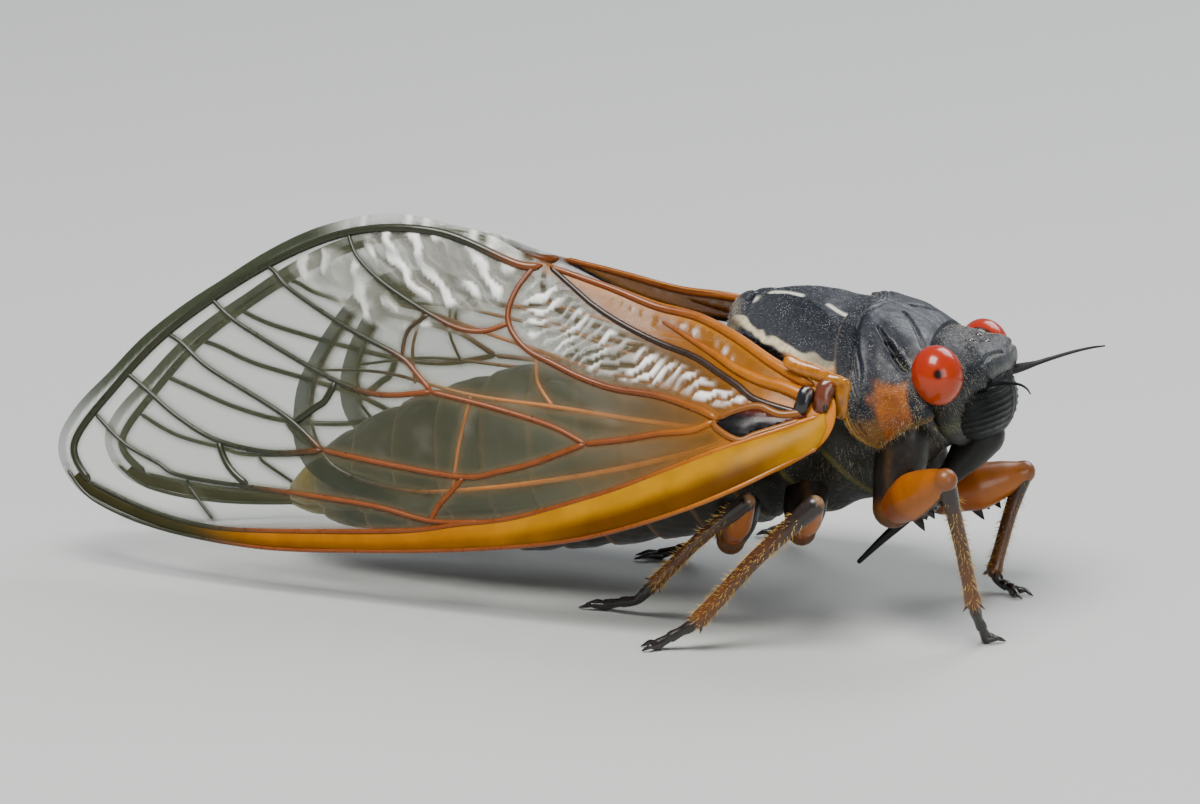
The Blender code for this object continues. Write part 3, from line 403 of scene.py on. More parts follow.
def painted(name, rough, spread=0.12, grain=2500.0, relief=0.004, speck=0.0, coat=0.0,
            clear=False, sheen=0.0, shine=0.5):
    """Surface coloured by its painted vertices, broken up by fine noise, dust and relief."""
    made, tree, place, paint = new_look(name)
    noise = add_node(tree, "ShaderNodeTexNoise", {
        "Vector": place, "Scale": grain, "Detail": 5.0}).outputs["Fac"]
    tone = map_range(tree, noise, *NOISE_RANGE, 1.0 - 1.6 * spread, 1.0 + 1.6 * spread)
    colour = add_node(tree, "ShaderNodeVectorMath", {0: paint["Color"], "Scale": tone},
                      operation="SCALE").outputs["Vector"]
    if speck > 0.0:
        dots = add_node(tree, "ShaderNodeTexVoronoi", {"Vector": place, "Scale": DUST_GRAIN})
        patches = add_node(tree, "ShaderNodeTexNoise", {
            "Vector": place, "Scale": DUST_PATCHES, "Detail": 3.0})
        share = add_node(tree, "ShaderNodeMath", {
            0: map_range(tree, dots.outputs["Distance"], 0.1, 0.24, speck, 0.0),
            1: map_range(tree, patches.outputs["Fac"], 0.45, 0.62)}, operation="MULTIPLY")
        colour = mixed_colour(tree, share.outputs["Value"], colour, DUST_COLOUR)
    looks = {
        "Base Color": colour, "Specular IOR Level": shine, "Coat Weight": coat,
        "Coat Roughness": 0.06, "Sheen Weight": sheen, "Sheen Roughness": 0.4,
        "Roughness": map_range(tree, noise, *NOISE_RANGE, max(0.03, rough - 0.07),
                               min(1.0, rough + 0.1))}
    if relief > 0.0:
        looks["Normal"] = relief_normals(tree, noise, relief)
    if clear:
        looks["Alpha"] = paint["Alpha"]
    set_inputs(tree, tree.nodes["Principled BSDF"], looks)
    return made


def vein_colour(places):
    """Colour of a forewing's veins: orange at the root, red-brown, then dark olive."""
    reach = places[:, 0] + 0.9 * (places[:, 1] - 8.0)
    near = blend((0.38, 0.115, 0.0), (0.18, 0.040, 0.002), soft_step(places[:, 0], 3.0, 9.0))
    return blend(near, (0.020, 0.022, 0.009), soft_step(reach, 18.5, 22.5))


def creased_share(places):
    """How far each place lies within the creased cells."""
    return np.max([in_cell(places, outline, 0.0, 0.4) * strength
                   for outline, _, _, strength in CREASED_CELLS], axis=0)


def creases(places, gap):
    """Height of the creases, and how much painted highlight whitens their crests and the wide
    cells.
    """
    height = np.zeros(len(places))
    highlight = np.zeros(len(places))
    for outline, lean, spacing, strength in CREASED_CELLS:
        within = in_cell(places, outline, 0.02, 0.3)
        over = math.sin(lean) * places[:, 0] + math.cos(lean) * places[:, 1]
        run = math.cos(lean) * places[:, 0] - math.sin(lean) * places[:, 1]
        warp = 0.2 * np.sin(1.15 * run + 0.9 * over) + 0.09 * np.sin(3.1 * run - 2.3 * over)
        warp += 0.05 * np.sin(6.1 * run + 3.7 * over)
        wave = np.sin(2.0 * math.pi * (over + warp) / spacing)
        patch = 0.5 + 0.5 * np.sin(1.3 * run + 2.1 * np.sin(0.8 * over)) * np.sin(
            1.9 * over + 1.1 * run)
        height += 0.14 * spacing * wave * within * strength
        evenness = 0.4 if spacing < 0.6 else 0.0
        # Painted highlights: the crests are whitened in blotches as if they caught the light, and
        # the wide cells get a painted milky sheen.
        glint_share = soft_step(wave, 0.75 - strength, 1.3 - 0.8 * strength)
        glint_share = glint_share * (evenness + (1.0 - evenness) * soft_step(patch, 0.3, 0.62))
        milky_sheen = MILKY_SHEEN_SHARE if spacing > 0.6 else 0.0
        highlight_share = np.maximum(glint_share * min(1.0, strength + 0.1), milky_sheen)
        highlight = np.maximum(highlight, highlight_share * within)
    return height * soft_step(gap, 0.1, 0.3), highlight * soft_step(gap, 0.08, 0.2)


membrane_look = painted("wing_membrane", 0.22, spread=0.04, grain=1200.0, relief=0.008, clear=True,
                        shine=0.22)
spots, triangles = sheet_spots(FOREWING_OUTLINE, SHEET_SPACING)
vein_gap = vein_distance(spots, FOREWING_VEINS, 0.35)
rim_gap = distance_to(spots, looped(spline(FOREWING_OUTLINE, 0.35, closed=True)))
ripple, glint = creases(spots, vein_gap)
sag = 0.05 * np.sin(1.3 * spots[:, 0] + 0.6) * np.sin(1.7 * spots[:, 1])
ripple = ripple + sag * soft_step(vein_gap, 0.1, 0.8)
back, high = spots[:, 0], spots[:, 1]
cell_colour = blend((0.36, 0.15, 0.02), (0.16, 0.17, 0.10), soft_step(back, 3.0, 12.0))
cell_alpha = 0.17 - 0.09 * soft_step(back, 3.0, 17.0)
root_zone = 1.0 - soft_step(back - 0.5 * np.abs(high - 10.3), 1.5, 3.9)
cell_colour = blend(cell_colour, (0.50, 0.165, 0.008), root_zone)
cell_alpha = cell_alpha + 0.65 * root_zone
in_clavus = inside(spots, CLAVUS) * soft_step(vein_gap, 0.0, 0.2)
cell_colour = blend(cell_colour, (0.29, 0.10, 0.0), in_clavus)
cell_alpha = np.maximum(cell_alpha, 0.62 * in_clavus)
amber_hem = (1.0 - soft_step(rim_gap, 0.3, 0.5)) * (1.0 - soft_step(back, 12.6, 14.0))
amber_hem = amber_hem * (high > 10.0)
cell_colour = blend(cell_colour, (0.55, 0.22, 0.008), amber_hem)
cell_alpha = np.maximum(cell_alpha, 0.8 * amber_hem)
# Painted glints in blotches along the upper hem, added to the painted highlights.
hem_glint = (1.0 - soft_step(rim_gap, 0.4, 0.7)) * band(back, 13.4, 14.6, 21.0, 23.5) * (high > 9.0)
hem_glint = hem_glint * (0.45 + 0.55 * np.sin(4.2 * back + 2.0 * np.sin(2.3 * back)))
glint = np.maximum(glint, np.clip(hem_glint, 0.0, 1.0) * 0.85)
dark_hem = (1.0 - soft_step(rim_gap, 0.34, 0.52)) * soft_step(back + 0.5 * (8.0 - high), 17.5, 21.0)
dark_hem = dark_hem * (high > 4.2)
cell_colour = blend(cell_colour, (0.020, 0.028, 0.006), dark_hem)
cell_alpha = np.maximum(cell_alpha, dark_hem * (0.3 + 0.5 * soft_step(high, 5.0, 9.0)))
folded = creased_share(spots) * (1.0 - root_zone)
cell_colour = blend(cell_colour, blend((0.26, 0.10, 0.015), (0.09, 0.085, 0.04),
                                       soft_step(back, 4.0, 11.0)), folded)
cell_alpha = cell_alpha + 0.16 * folded
stain = hump(vein_gap, 0.0, STAIN_REACH)
cell_colour = blend(cell_colour, vein_colour(spots), 0.85 * stain)
cell_alpha = cell_alpha + 0.45 * stain * (1.0 - cell_alpha)
# Painted highlights: where the creases and hem are whitened, the skin turns near-white and nearly
# opaque.
cell_colour = blend(cell_colour, HIGHLIGHT_WHITE, glint)
cell_alpha = cell_alpha * (1.0 - glint) + 0.9 * glint
for label, sign in SIDES:
    if sign > 0.0:
        # Painted light: the left wing's clavus lies in shade, so it is painted a brighter, more
        # opaque amber that stands in for light.
        painted_light_clavus = inside(spots, CLAVUS) * (1.0 - glint)
        cell_colour = blend(cell_colour, (0.62, 0.25, 0.0), 0.7 * painted_light_clavus)
        cell_alpha = np.maximum(cell_alpha, 0.8 * painted_light_clavus)
    sheet = thin_sheet("forewing_membrane_" + label, spots, triangles,
                       np.column_stack((cell_colour, cell_alpha)), ripple, SKIN_HALF, sign,
                       membrane_look)
    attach(sheet, "root")
    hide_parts("forewing_" + label)


# Forewing veins: hollow struts of horny cuticle that the membrane is stretched between. They
# are orange at the root and nearly black towards the tip, and they branch from a few trunks
# at the hinge.
VEIN_SIDES = 10
VEIN_SAMPLING = 0.08
# How far a vein is blackened where that is more than its place says.
BLACKENED = {"claval": 0.96, "basal_front": 0.4, "basal_rear": 0.5, "cubitus": 0.2}


def geometry_tree(name):
    """A geometry node tree with its way in and its way out."""
    tree = bpy.data.node_groups.new(name, "GeometryNodeTree")
    for way in ("INPUT", "OUTPUT"):
        tree.interface.new_socket(name="Geometry", in_out=way, socket_type="NodeSocketGeometry")
    return tree, tree.nodes.new("NodeGroupInput"), tree.nodes.new("NodeGroupOutput")


def close_tree(tree, geometry, group_out, material):
    """End a node tree in Realize Instances and Set Material."""
    real = add_node(tree, "GeometryNodeRealizeInstances", {"Geometry": geometry})
    dress = add_node(tree, "GeometryNodeSetMaterial", {
        "Geometry": real.outputs["Geometry"], "Material": material})
    set_inputs(tree, group_out, {"Geometry": dress.outputs["Geometry"]})


def named(tree, attribute, kind="FLOAT"):
    """Output of a node that reads a stored attribute."""
    return add_node(tree, "GeometryNodeInputNamedAttribute", {"Name": attribute},
                    data_type=kind).outputs["Attribute"]


def grow(source, tree, name):
    """Turn an object that is only a start into the piece that a node tree makes of it."""
    source.modifiers.new("grown", "NODES").node_group = tree
    graph = bpy.context.evaluated_depsgraph_get()
    mesh = bpy.data.meshes.new_from_object(source.evaluated_get(graph))
    mesh.name = name
    bpy.data.objects.remove(source, do_unlink=True)
    return add_object(name, mesh)


def tube_tree(material):
    """Tree that sweeps a circle along each wire, as wide as the wire's points say."""
    tree, group_in, group_out = geometry_tree("tubes")
    curve = add_node(tree, "GeometryNodeMeshToCurve", {"Mesh": group_in.outputs["Geometry"]})
    circle = add_node(tree, "GeometryNodeCurvePrimitiveCircle", {
        "Resolution": VEIN_SIDES, "Radius": 1.0})
    sweep = add_node(tree, "GeometryNodeCurveToMesh", {
        "Curve": curve.outputs["Curve"], "Profile Curve": circle.outputs["Curve"],
        "Scale": named(tree, "width"), "Fill Caps": True})
    smooth = add_node(tree, "GeometryNodeSetShadeSmooth", {"Geometry": sweep.outputs["Mesh"]})
    close_tree(tree, smooth.outputs["Geometry"], group_out, material)
    return tree


def vein_net(name, veins, colour_of, middle, sign, tree):
    """All veins of one wing as tubes along the wing's surface."""
    points, edges, widths, colours = [], [], [], []
    for vein, (start_radius, end_radius, route) in veins.items():
        spots_on = spline(route, VEIN_SAMPLING)
        start = sum(len(p) for p in points)
        points.append(wing_points(spots_on, np.full(len(spots_on), middle), sign))
        edges += [(start + k, start + k + 1) for k in range(len(spots_on) - 1)]
        share = np.linspace(0.0, 1.0, len(spots_on))
        radius = start_radius + (end_radius - start_radius) * share
        from_end = np.minimum(share, 1.0 - share) * VEIN_SAMPLING * len(spots_on)
        widths.append(radius * np.sqrt(np.clip(from_end / (1.5 * radius), 0.06, 1.0)) * MM)
        colours.append(blend(colour_of(spots_on), (0.016, 0.010, 0.007), BLACKENED.get(vein, 0.0)))
    wire = bpy.data.meshes.new(name + "_wire")
    wire.from_pydata([tuple(p) for p in np.vstack(points) * MM], edges, [])
    store(wire, "width", "FLOAT", np.concatenate(widths))
    set_paint(wire, np.vstack(colours))
    made = grow(add_object(name + "_wire", wire), tree, name)
    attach(made, "root")


vein_look = painted("wing_veins", 0.3, spread=0.05, grain=2000.0, relief=0.004, coat=0.15,
                    shine=0.4)
vein_tubes = tube_tree(vein_look)
for label, sign in SIDES:
    vein_net("forewing_veins_" + label, FOREWING_VEINS, vein_colour, 0.02, sign, vein_tubes)


# Costal band: the stiff leading edge of the forewing, a broad hollow strap of yellow to
# orange cuticle between its two front veins, darker towards the tip. Painted brown shade
# lies along its lower edge and over its inner face.
# Each row gives the lower and the upper edge of the strap in side view.
COSTAL_ROWS = (
    (-0.1, 9.0, 0.1, 9.6), (0.3, 8.2, 1.4, 9.0), (1.6, 7.5, 2.8, 8.5), (3.3, 6.72, 4.2, 8.0),
    (5.8, 5.52, 6.4, 7.0), (8.2, 4.6, 8.6, 6.0), (10.8, 3.8, 11.0, 5.1), (13.0, 3.33, 13.0, 4.4),
    (15.4, 2.92, 15.5, 3.85), (18.0, 2.55, 18.1, 3.3), (20.4, 2.3, 20.5, 3.0),
    (24.8, 1.98, 24.7, 2.6), (27.5, 2.05, 27.5, 2.52), (30.2, 2.42, 30.1, 2.88),
    (32.6, 3.1, 32.4, 3.5), (33.7, 3.8, 33.4, 4.1),
)
STRAP_ACROSS = 14
STRAP_RISE = 0.26
STRAP_DEPTH = 0.14


def ring_faces(rows, sides, start=0):
    """Faces of a closed tube of rings whose two ends are closed by a fan."""
    faces = []
    for r in range(rows - 1):
        for k in range(sides):
            a = start + r * sides + k
            b = start + r * sides + (k + 1) % sides
            faces.append((a, b, b + sides, a + sides))
    first, last = start + rows * sides, start + rows * sides + 1
    base = start + (rows - 1) * sides
    for k in range(sides):
        faces.append((start + (k + 1) % sides, start + k, first))
        faces.append((base + k, base + (k + 1) % sides, last))
    return faces


def grid_mesh(name, grids, paints, material):
    """One object from closed grids of rings, with their vertex colours."""
    points, faces, colours = [], [], []
    for grid, paint in zip(grids, paints):
        rows, sides = grid.shape[:2]
        start = sum(len(p) for p in points)
        points.append(np.vstack((grid.reshape(-1, 3), grid[0].mean(axis=0), grid[-1].mean(axis=0))))
        faces += ring_faces(rows, sides, start)
        paint = np.asarray(paint, float).reshape(rows, sides, -1)
        colours.append(np.vstack((paint.reshape(rows * sides, -1), paint[0].mean(axis=0),
                                  paint[-1].mean(axis=0))))
    made = new_mesh(name, np.vstack(points), faces, material)
    set_paint(made.data, np.vstack(colours))
    return made


steps = np.linspace(0.0, len(COSTAL_ROWS) - 1.0, 150)
numbered = [(k, *row) for k, row in enumerate(COSTAL_ROWS)]
low_edge = np.column_stack([read_curve(numbered, steps, c) for c in (1, 2)])
high_edge = np.column_stack([read_curve(numbered, steps, c) for c in (3, 4)])
turn = np.linspace(0.0, 2.0 * math.pi, 2 * STRAP_ACROSS, endpoint=False)
across = 0.5 - 0.5 * np.cos(turn)
thick = np.where(np.sin(turn) > 0.0, STRAP_RISE, STRAP_DEPTH) * np.sin(turn)
width = np.linalg.norm(high_edge - low_edge, axis=1)
rib_spots = low_edge[:, None, :] + (high_edge - low_edge)[:, None, :] * across[None, :, None]
rise = thick[None, :] * np.clip(width / 1.4, 0.35, 1.0)[:, None]
back = rib_spots[..., 0]
upper = np.broadcast_to(across[None, :], back.shape)
outside = np.broadcast_to((np.sin(turn) > -0.1)[None, :], back.shape)
yellow = blend((0.34, 0.155, 0.0), (0.30, 0.105, 0.0), soft_step(back, 7.0, 18.0).ravel())
# Painted shade: darker along the strap's lower edge near the root, and over its whole inner face,
# which is turned from the light.
shade = (1.0 - soft_step(upper, 0.25, 0.62)) * soft_step(back, 0.5, 3.0)
shade = np.where(outside, shade * (1.0 - 0.5 * soft_step(back, 9.0, 14.0)), 0.8)
strap_paint = blend(yellow, (0.075, 0.022, 0.001), shade.ravel() * 0.9)
strap_paint = blend(strap_paint, (0.030, 0.027, 0.009), soft_step(back, 23.5, 28.5).ravel())
strap_look = painted("costal_band", 0.38, spread=0.1, grain=900.0, relief=0.006, shine=0.09)
for label, sign in SIDES:
    strap_grid = wing_points(rib_spots.reshape(-1, 2), rise.ravel(), sign).reshape(*back.shape, 3)
    strap = grid_mesh("costal_band_" + label, [strap_grid], [strap_paint], strap_look)
    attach(strap, "root")


# Basal cells: the small closed cell where the forewing's trunks meet is filled by a glossy
# black plate, a little thicker than the clear skin round it.
BASAL_OUTLINE = (
    (0.8, 9.42), (1.9, 8.98), (2.8, 8.68), (3.5, 8.45), (4.5, 8.8), (4.5, 8.95), (3.9, 9.3),
    (2.95, 9.52), (1.9, 9.35), (1.2, 9.45),
)
plate_look = painted("black_plate", 0.24, spread=0.1, grain=2000.0, relief=0.004, shine=0.25)
plate_spots, plate_triangles = sheet_spots(BASAL_OUTLINE, 0.14)
plate_rim = looped(spline(BASAL_OUTLINE, 0.2, closed=True))
plate_dome = 0.08 * soft_step(distance_to(plate_spots, plate_rim), 0.0, 0.4)
plate_red = soft_step(plate_spots[:, 1] - 0.1 * plate_spots[:, 0], 8.75, 9.3)
plate_paint = blend((0.006, 0.005, 0.006), (0.10, 0.012, 0.004), plate_red * 0.8)
for label, sign in SIDES:
    plate = thin_sheet("basal_cell_" + label, plate_spots, plate_triangles, plate_paint,
                       0.04 + plate_dome, 0.05, sign, plate_look)
    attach(plate, "root")


# Hindwings: the shorter second pair, folded away beneath the forewings and seen through them.
# They are clearer, with orange veins at the root and a dusky band along the outer margin.
HINDWING_INSET = 1.06
HINDWING_SLOPE = 0.24          # how fast the upper margin rises away from the root
HINDWING_OUTLINE = (
    (3.4, 10.3), (7.0, 11.1), (11.0, 12.0), (15.0, 13.2), (18.6, 13.8), (21.4, 13.2), (23.2, 11.0),
    (24.2, 8.4), (23.9, 6.2), (22.4, 4.9), (18.6, 4.3), (14.6, 4.7), (9.8, 5.9), (5.6, 7.5),
    (3.6, 8.7),
)
HINDWING_VEINS = {
    "radius": (0.13, 0.07, ((4.0, 9.0), (6.2, 8.0), (10.2, 6.7), (14.6, 5.6), (18.6, 5.0),
                            (22.0, 5.6), (23.4, 7.4))),
    "media": (0.12, 0.06, ((4.0, 9.0), (8.0, 8.9), (12.4, 9.0), (16.0, 9.1), (20.0, 9.6),
                           (23.2, 9.4))),
    "cubitus": (0.12, 0.06, ((4.0, 9.0), (7.0, 10.1), (11.0, 10.6), (15.0, 11.4), (18.6, 12.2),
                             (21.4, 12.4))),
    "anal": (0.1, 0.06, ((3.8, 9.4), (6.6, 10.7), (10.6, 11.5), (14.6, 12.7))),
    "cross_front": (0.08, 0.07, ((16.0, 9.1), (16.3, 7.2), (16.4, 5.3))),
    "cross_rear": (0.08, 0.07, ((12.4, 9.0), (13.2, 9.9), (13.4, 11.0))),
    "cross_outer": (0.07, 0.07, ((18.6, 9.3), (18.9, 10.8), (18.6, 12.2))),
    "margin": (0.09, 0.09, ((23.4, 7.4), (23.3, 9.2), (22.4, 11.2), (21.4, 12.4), (18.4, 13.3))),
}


def hind_colour(places):
    """Colour of the hindwing's veins: orange, then dark along the outer margin."""
    return blend((0.52, 0.16, 0.02), (0.03, 0.024, 0.014), soft_step(places[:, 0], 13.0, 21.0))


hind_spots, hind_triangles = sheet_spots(HINDWING_OUTLINE, 0.32)
hind_back = hind_spots[:, 0]
hind_stain = hump(vein_distance(hind_spots, HINDWING_VEINS, 0.4), 0.0, STAIN_REACH)
hind_paint = blend((0.34, 0.15, 0.03), (0.16, 0.16, 0.09), soft_step(hind_back, 4.0, 14.0))
hind_alpha = 0.13 - 0.06 * soft_step(hind_back, 5.0, 16.0)
hind_edge = distance_to(hind_spots, looped(spline(HINDWING_OUTLINE, 0.35, closed=True)))
hind_band = (1.0 - soft_step(hind_edge, 0.75, 1.0)) * soft_step(hind_back, 17.0, 20.0)
hind_paint = blend(hind_paint, (0.016, 0.026, 0.022), hind_band * 0.95)
hind_alpha = hind_alpha + 0.6 * hind_band + 0.2 * hind_stain
hind_paint = blend(hind_paint, hind_colour(hind_spots), 0.7 * hind_stain)
hind_sag = 0.06 * np.sin(1.9 * hind_back) * np.sin(2.3 * hind_spots[:, 1])
for label, sign in SIDES:
    sheet = thin_sheet("hindwing_membrane_" + label, hind_spots, hind_triangles,
                       np.column_stack((hind_paint, hind_alpha)), hind_sag - HINDWING_INSET,
                       SKIN_HALF, sign, membrane_look)
    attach(sheet, "root")
    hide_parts("hindwing_" + label)
    vein_net("hindwing_veins_" + label, HINDWING_VEINS, hind_colour, -HINDWING_INSET, sign,
             vein_tubes)


# Thorax skin: the black back plates and the sides of the thorax, one hard shell with a blue-grey
# bloom. The pronotum in front ends in a ridged collar that laps over the mesonotum, and carries
# two slanting furrows on each side. Behind lie the dome of the mesonotum and its cross ridge.
BODY_CENTRE = (11.0, 0.0, 8.2)
BODY_PITCH = math.radians(13.0)
BODY_TUCK_FORE = 0.62
BODY_TUCK_HIND = 1.75
# Rows of a body skin: place along it, half width, top, bottom, narrowing above and below.
THORAX_PROFILE = (
    (-3.3, 3.85, 4.4, -3.8, 0.67, 0.25), (-2.95, 4.0, 5.05, -3.9, 0.62, 0.28),
    (-2.5, 4.1, 5.5, -4.0, 0.56, 0.32), (-1.95, 4.2, 5.38, -4.1, 0.42, 0.36),
    (-1.2, 4.35, 5.48, -4.2, 0.3, 0.4), (0.0, 4.5, 5.38, -4.2, 0.18, 0.42),
    (1.3, 4.62, 5.0, -4.0, 0.15, 0.45), (2.2, 4.7, 4.6, -3.6, 0.16, 0.45),
    (2.8, 4.84, 4.42, -3.1, 0.17, 0.46), (3.3, 4.9, 4.4, -2.95, 0.18, 0.49),
    (3.85, 4.7, 4.12, -2.9, 0.18, 0.5), (4.3, 4.6, 3.85, -2.75, 0.19, 0.49),
    (4.9, 4.5, 3.4, -2.5, 0.19, 0.45), (5.4, 4.3, 2.98, -2.25, 0.16, 0.37),
    (5.6, 4.1, 2.75, -2.1, 0.14, 0.34),
)
# Angle from the top of the back in degrees, and where along the body an edge lies there.
COLLAR_REAR = ((0, 3.2), (14, 2.92), (25, 2.42), (43, 2.05), (54, 1.95), (66, 2.05), (75, 2.2),
               (84, 2.25), (92, 2.4), (98, 2.7), (104, 3.1), (108, 3.4))
# Place along the body, and the angle from the top of the back where the pronotum ends below.
PRONOTUM_FOOT = ((1.8, 97.0), (2.5, 101.0), (3.2, 106.0), (3.7, 103.0), (4.2, 97.5), (4.9, 94.0),
                 (5.6, 93.0))
COLLAR_WIDTH = ((0, 0.5), (30, 0.8), (49, 1.1), (60, 1.25), (72, 1.0), (84, 0.6))
COLLAR_RIDGE_STEP = 0.15
THORAX_ROUND = (400, 0.86)     # points round each ring of the skin, and how blunt the ring is
SCUTUM_EDGE = ((-2.6, 14.0), (-2.1, 17.0), (-1.64, 26.0), (-0.93, 35.0), (-0.22, 42.0),
               (0.45, 47.0), (1.32, 52.0), (1.93, 54.5), (2.6, 56.0))
# Furrows, then ridges: route in the body's frame, depth or height, half width.
FURROWS = (
    (((4.5, 0.62, 3.8), (4.75, 1.0, 3.6), (5.0, 1.5, 3.3), (5.3, 2.1, 2.9), (5.5, 2.6, 2.5)),
     0.3, 0.1),
    (((3.84, 2.62, 3.58), (4.1, 2.95, 3.22), (4.42, 3.27, 2.87)), 0.2, 0.085),
    (((4.25, 3.12, 3.03), (4.55, 3.42, 2.66), (4.9, 3.78, 2.16)), 0.34, 0.13),
    (((4.6, 3.5, 2.58), (4.95, 3.82, 2.1)), 0.4, 0.19),
    (((-2.35, 0.0, 5.5), (-0.5, 0.0, 5.5), (2.2, 0.0, 4.6)), 0.035, 0.08),
    (((3.4, 0.0, 4.4), (5.5, 0.0, 2.9)), 0.05, 0.1),
    (((2.3, 1.5, 4.3), (0.9, 1.25, 4.9), (-0.9, 1.0, 5.2)), 0.03, 0.07),
    (((2.2, 2.6, 3.7), (0.6, 2.7, 3.9), (-0.8, 2.3, 4.1)), 0.035, 0.08),
)
CROSS_RIDGES = (
    (((-2.0, 0.0, 5.4), (-1.35, 0.95, 5.3)), 0.16, 0.2),
    (((-2.0, 0.0, 5.4), (-2.75, 1.3, 4.9)), 0.18, 0.24),
)
# Cream spots of the back: route and half width.
CREAM_PATCHES = (
    (((-1.0, 0.45, 5.45), (-0.3, 0.68, 5.35), (0.35, 0.95, 5.2)), 0.16),
    (((-1.65, 0.85, 5.2), (-1.25, 1.03, 5.1), (-0.95, 1.0, 5.1)), 0.13),
    (((1.6, 1.4, 4.75), (2.1, 1.72, 4.45), (2.4, 1.85, 4.2)), 0.12),
)


def body_points(grid):
    """World millimetres of places given along the body, to its left and up."""
    cos_pitch, sin_pitch = math.cos(BODY_PITCH), math.sin(BODY_PITCH)
    along, side, up = grid[..., 0], grid[..., 1], grid[..., 2]
    return np.stack((BODY_CENTRE[0] + along * cos_pitch - up * sin_pitch, side,
                     BODY_CENTRE[2] + along * sin_pitch + up * cos_pitch), axis=-1)


def tucked(points):
    """Bring world places in so that they stay clear of the folded wings."""
    flat = points.reshape(-1, 3).copy()
    over_abdomen = soft_step(WING_ROOT_X - 2.0 - flat[:, 0], 0.0, 1.0)
    hind_start, hind_height = HINDWING_OUTLINE[0]
    margin = hind_height + HINDWING_SLOPE * (WING_ROOT_X - hind_start - flat[:, 0])
    below = 1.0 - soft_step(flat[:, 2] - margin, 0.5, 1.3)
    room = BODY_TUCK_FORE + (BODY_TUCK_HIND - BODY_TUCK_FORE) * over_abdomen * below
    ahead = soft_step(flat[:, 0], WING_ROOT_X + 0.5, WING_ROOT_X + 1.2)
    x = np.minimum(flat[:, 0], WING_ROOT_X + 0.5)
    limit = wing_side(x, flat[:, 2]) - room / wing_normals(x, flat[:, 2])[:, 1] + 2.0 * ahead
    limit = np.maximum(limit, 0.0)
    flat[:, 1] = np.sign(flat[:, 1]) * np.minimum(np.abs(flat[:, 1]), limit)
    return flat.reshape(points.shape)


def skin_grid(profile, alongs, sides, bluntness):
    """Rings of a body skin at the given places of a profile table."""
    turn = np.linspace(0.0, 2.0 * math.pi, sides, endpoint=False)
    c = np.sign(np.cos(turn)) * np.abs(np.cos(turn)) ** bluntness
    s = np.sign(np.sin(turn)) * np.abs(np.sin(turn)) ** bluntness
    half_width, top, bottom, above, below = (
        read_curve(profile, alongs, column)[:, None] for column in range(1, 6))
    narrowing = above * np.maximum(0.0, s) ** 1.5 + below * np.maximum(0.0, -s) ** 1.5
    side = half_width * c * (1.0 - narrowing)
    up = (top + bottom) / 2.0 + (top - bottom) / 2.0 * s
    return np.stack((np.broadcast_to(alongs[:, None], side.shape), side, up), axis=-1)


def grid_normals(grid):
    """Outward directions on a grid of rings."""
    around = np.roll(grid, -1, axis=1) - np.roll(grid, 1, axis=1)
    ahead = np.gradient(grid, axis=0)
    normals = np.cross(around, ahead)
    return normals / (np.linalg.norm(normals, axis=-1, keepdims=True) + 1e-9)


def pushed_out(grid, relief):
    """A grid of rings moved outwards by a height at each place."""
    return grid + grid_normals(grid) * relief[..., None]


def from_top(grid):
    """Angle of each place from the top of the back, in degrees, the same on both sides."""
    return np.degrees(np.arctan2(np.abs(grid[..., 1]), grid[..., 2]))


def right_half(grid):
    """A list of a grid's places with both sides laid over each other."""
    flat = grid.reshape(-1, 3).copy()
    flat[:, 1] = np.abs(flat[:, 1])
    return flat


def line_relief(grid, lines):
    """Height of ridges, or depth of furrows, along lines on both sides."""
    flat = right_half(grid)
    total = np.zeros(len(flat))
    for line, depth, half_width in lines:
        total = np.maximum(total, depth * hump(distance_to(flat, line), 0.0, half_width))
    return total.reshape(grid.shape[:2])


def flat_paint(grid, colour):
    """The same colour on every vertex of a grid."""
    return np.tile(colour, (grid.shape[0] * grid.shape[1], 1))


def uneven(grid, scale):
    """A smooth uneven field between -1 and 1 over a grid of places."""
    x, y, z = (grid[..., k] * scale for k in range(3))
    return (np.sin(x * 1.7 + np.sin(y * 1.3 + 0.4)) * np.cos(y * 1.9 + np.sin(z * 1.1))
            + np.sin(z * 2.3 + x * 0.7 + 1.9) * np.cos(x * 1.1 - y * 0.8)) / 2.0


alongs = np.concatenate((np.linspace(-3.3, 1.8, 75), np.linspace(1.85, 4.3, 80),
                         np.linspace(4.33, 5.6, 34)))
base = skin_grid(THORAX_PROFILE, alongs, *THORAX_ROUND)
angle = from_top(base)
behind_collar = base[..., 0] - read_curve(COLLAR_REAR, angle, 1)
above_foot = read_curve(PRONOTUM_FOOT, base[..., 0], 1) - angle
on_pronotum = soft_step(behind_collar, -0.05, 0.07) * soft_step(above_foot, -1.0, 1.0)
collar_width = read_curve(COLLAR_WIDTH, angle, 1)
collar_share = behind_collar / collar_width
on_collar = on_pronotum * (1.0 - soft_step(collar_share, 0.88, 1.0))
off_top = soft_step(angle, 6.0, 30.0)
relief = (0.07 + 0.1 * off_top) * on_pronotum
collar_wave = np.sin(behind_collar * 2.0 * math.pi / COLLAR_RIDGE_STEP)
relief += 0.034 * collar_wave * on_collar * (0.25 + 0.75 * off_top)
relief -= 0.1 * hump(collar_share, 1.0, 0.09) * on_pronotum * (angle < 92.0) * off_top
relief -= line_relief(base, FURROWS)
relief += line_relief(base, CROSS_RIDGES)
swelling = hump(base[..., 0], 4.5, 0.5) * hump(np.abs(base[..., 1]), 2.4, 0.7)
relief += 0.09 * swelling * (base[..., 2] > 0)
edge = read_curve(SCUTUM_EDGE, base[..., 0], 1)
past_edge = angle - edge
relief -= 0.14 * soft_step(past_edge, 1.0, 5.0) * (1.0 - on_pronotum) * (base[..., 0] > -2.7)
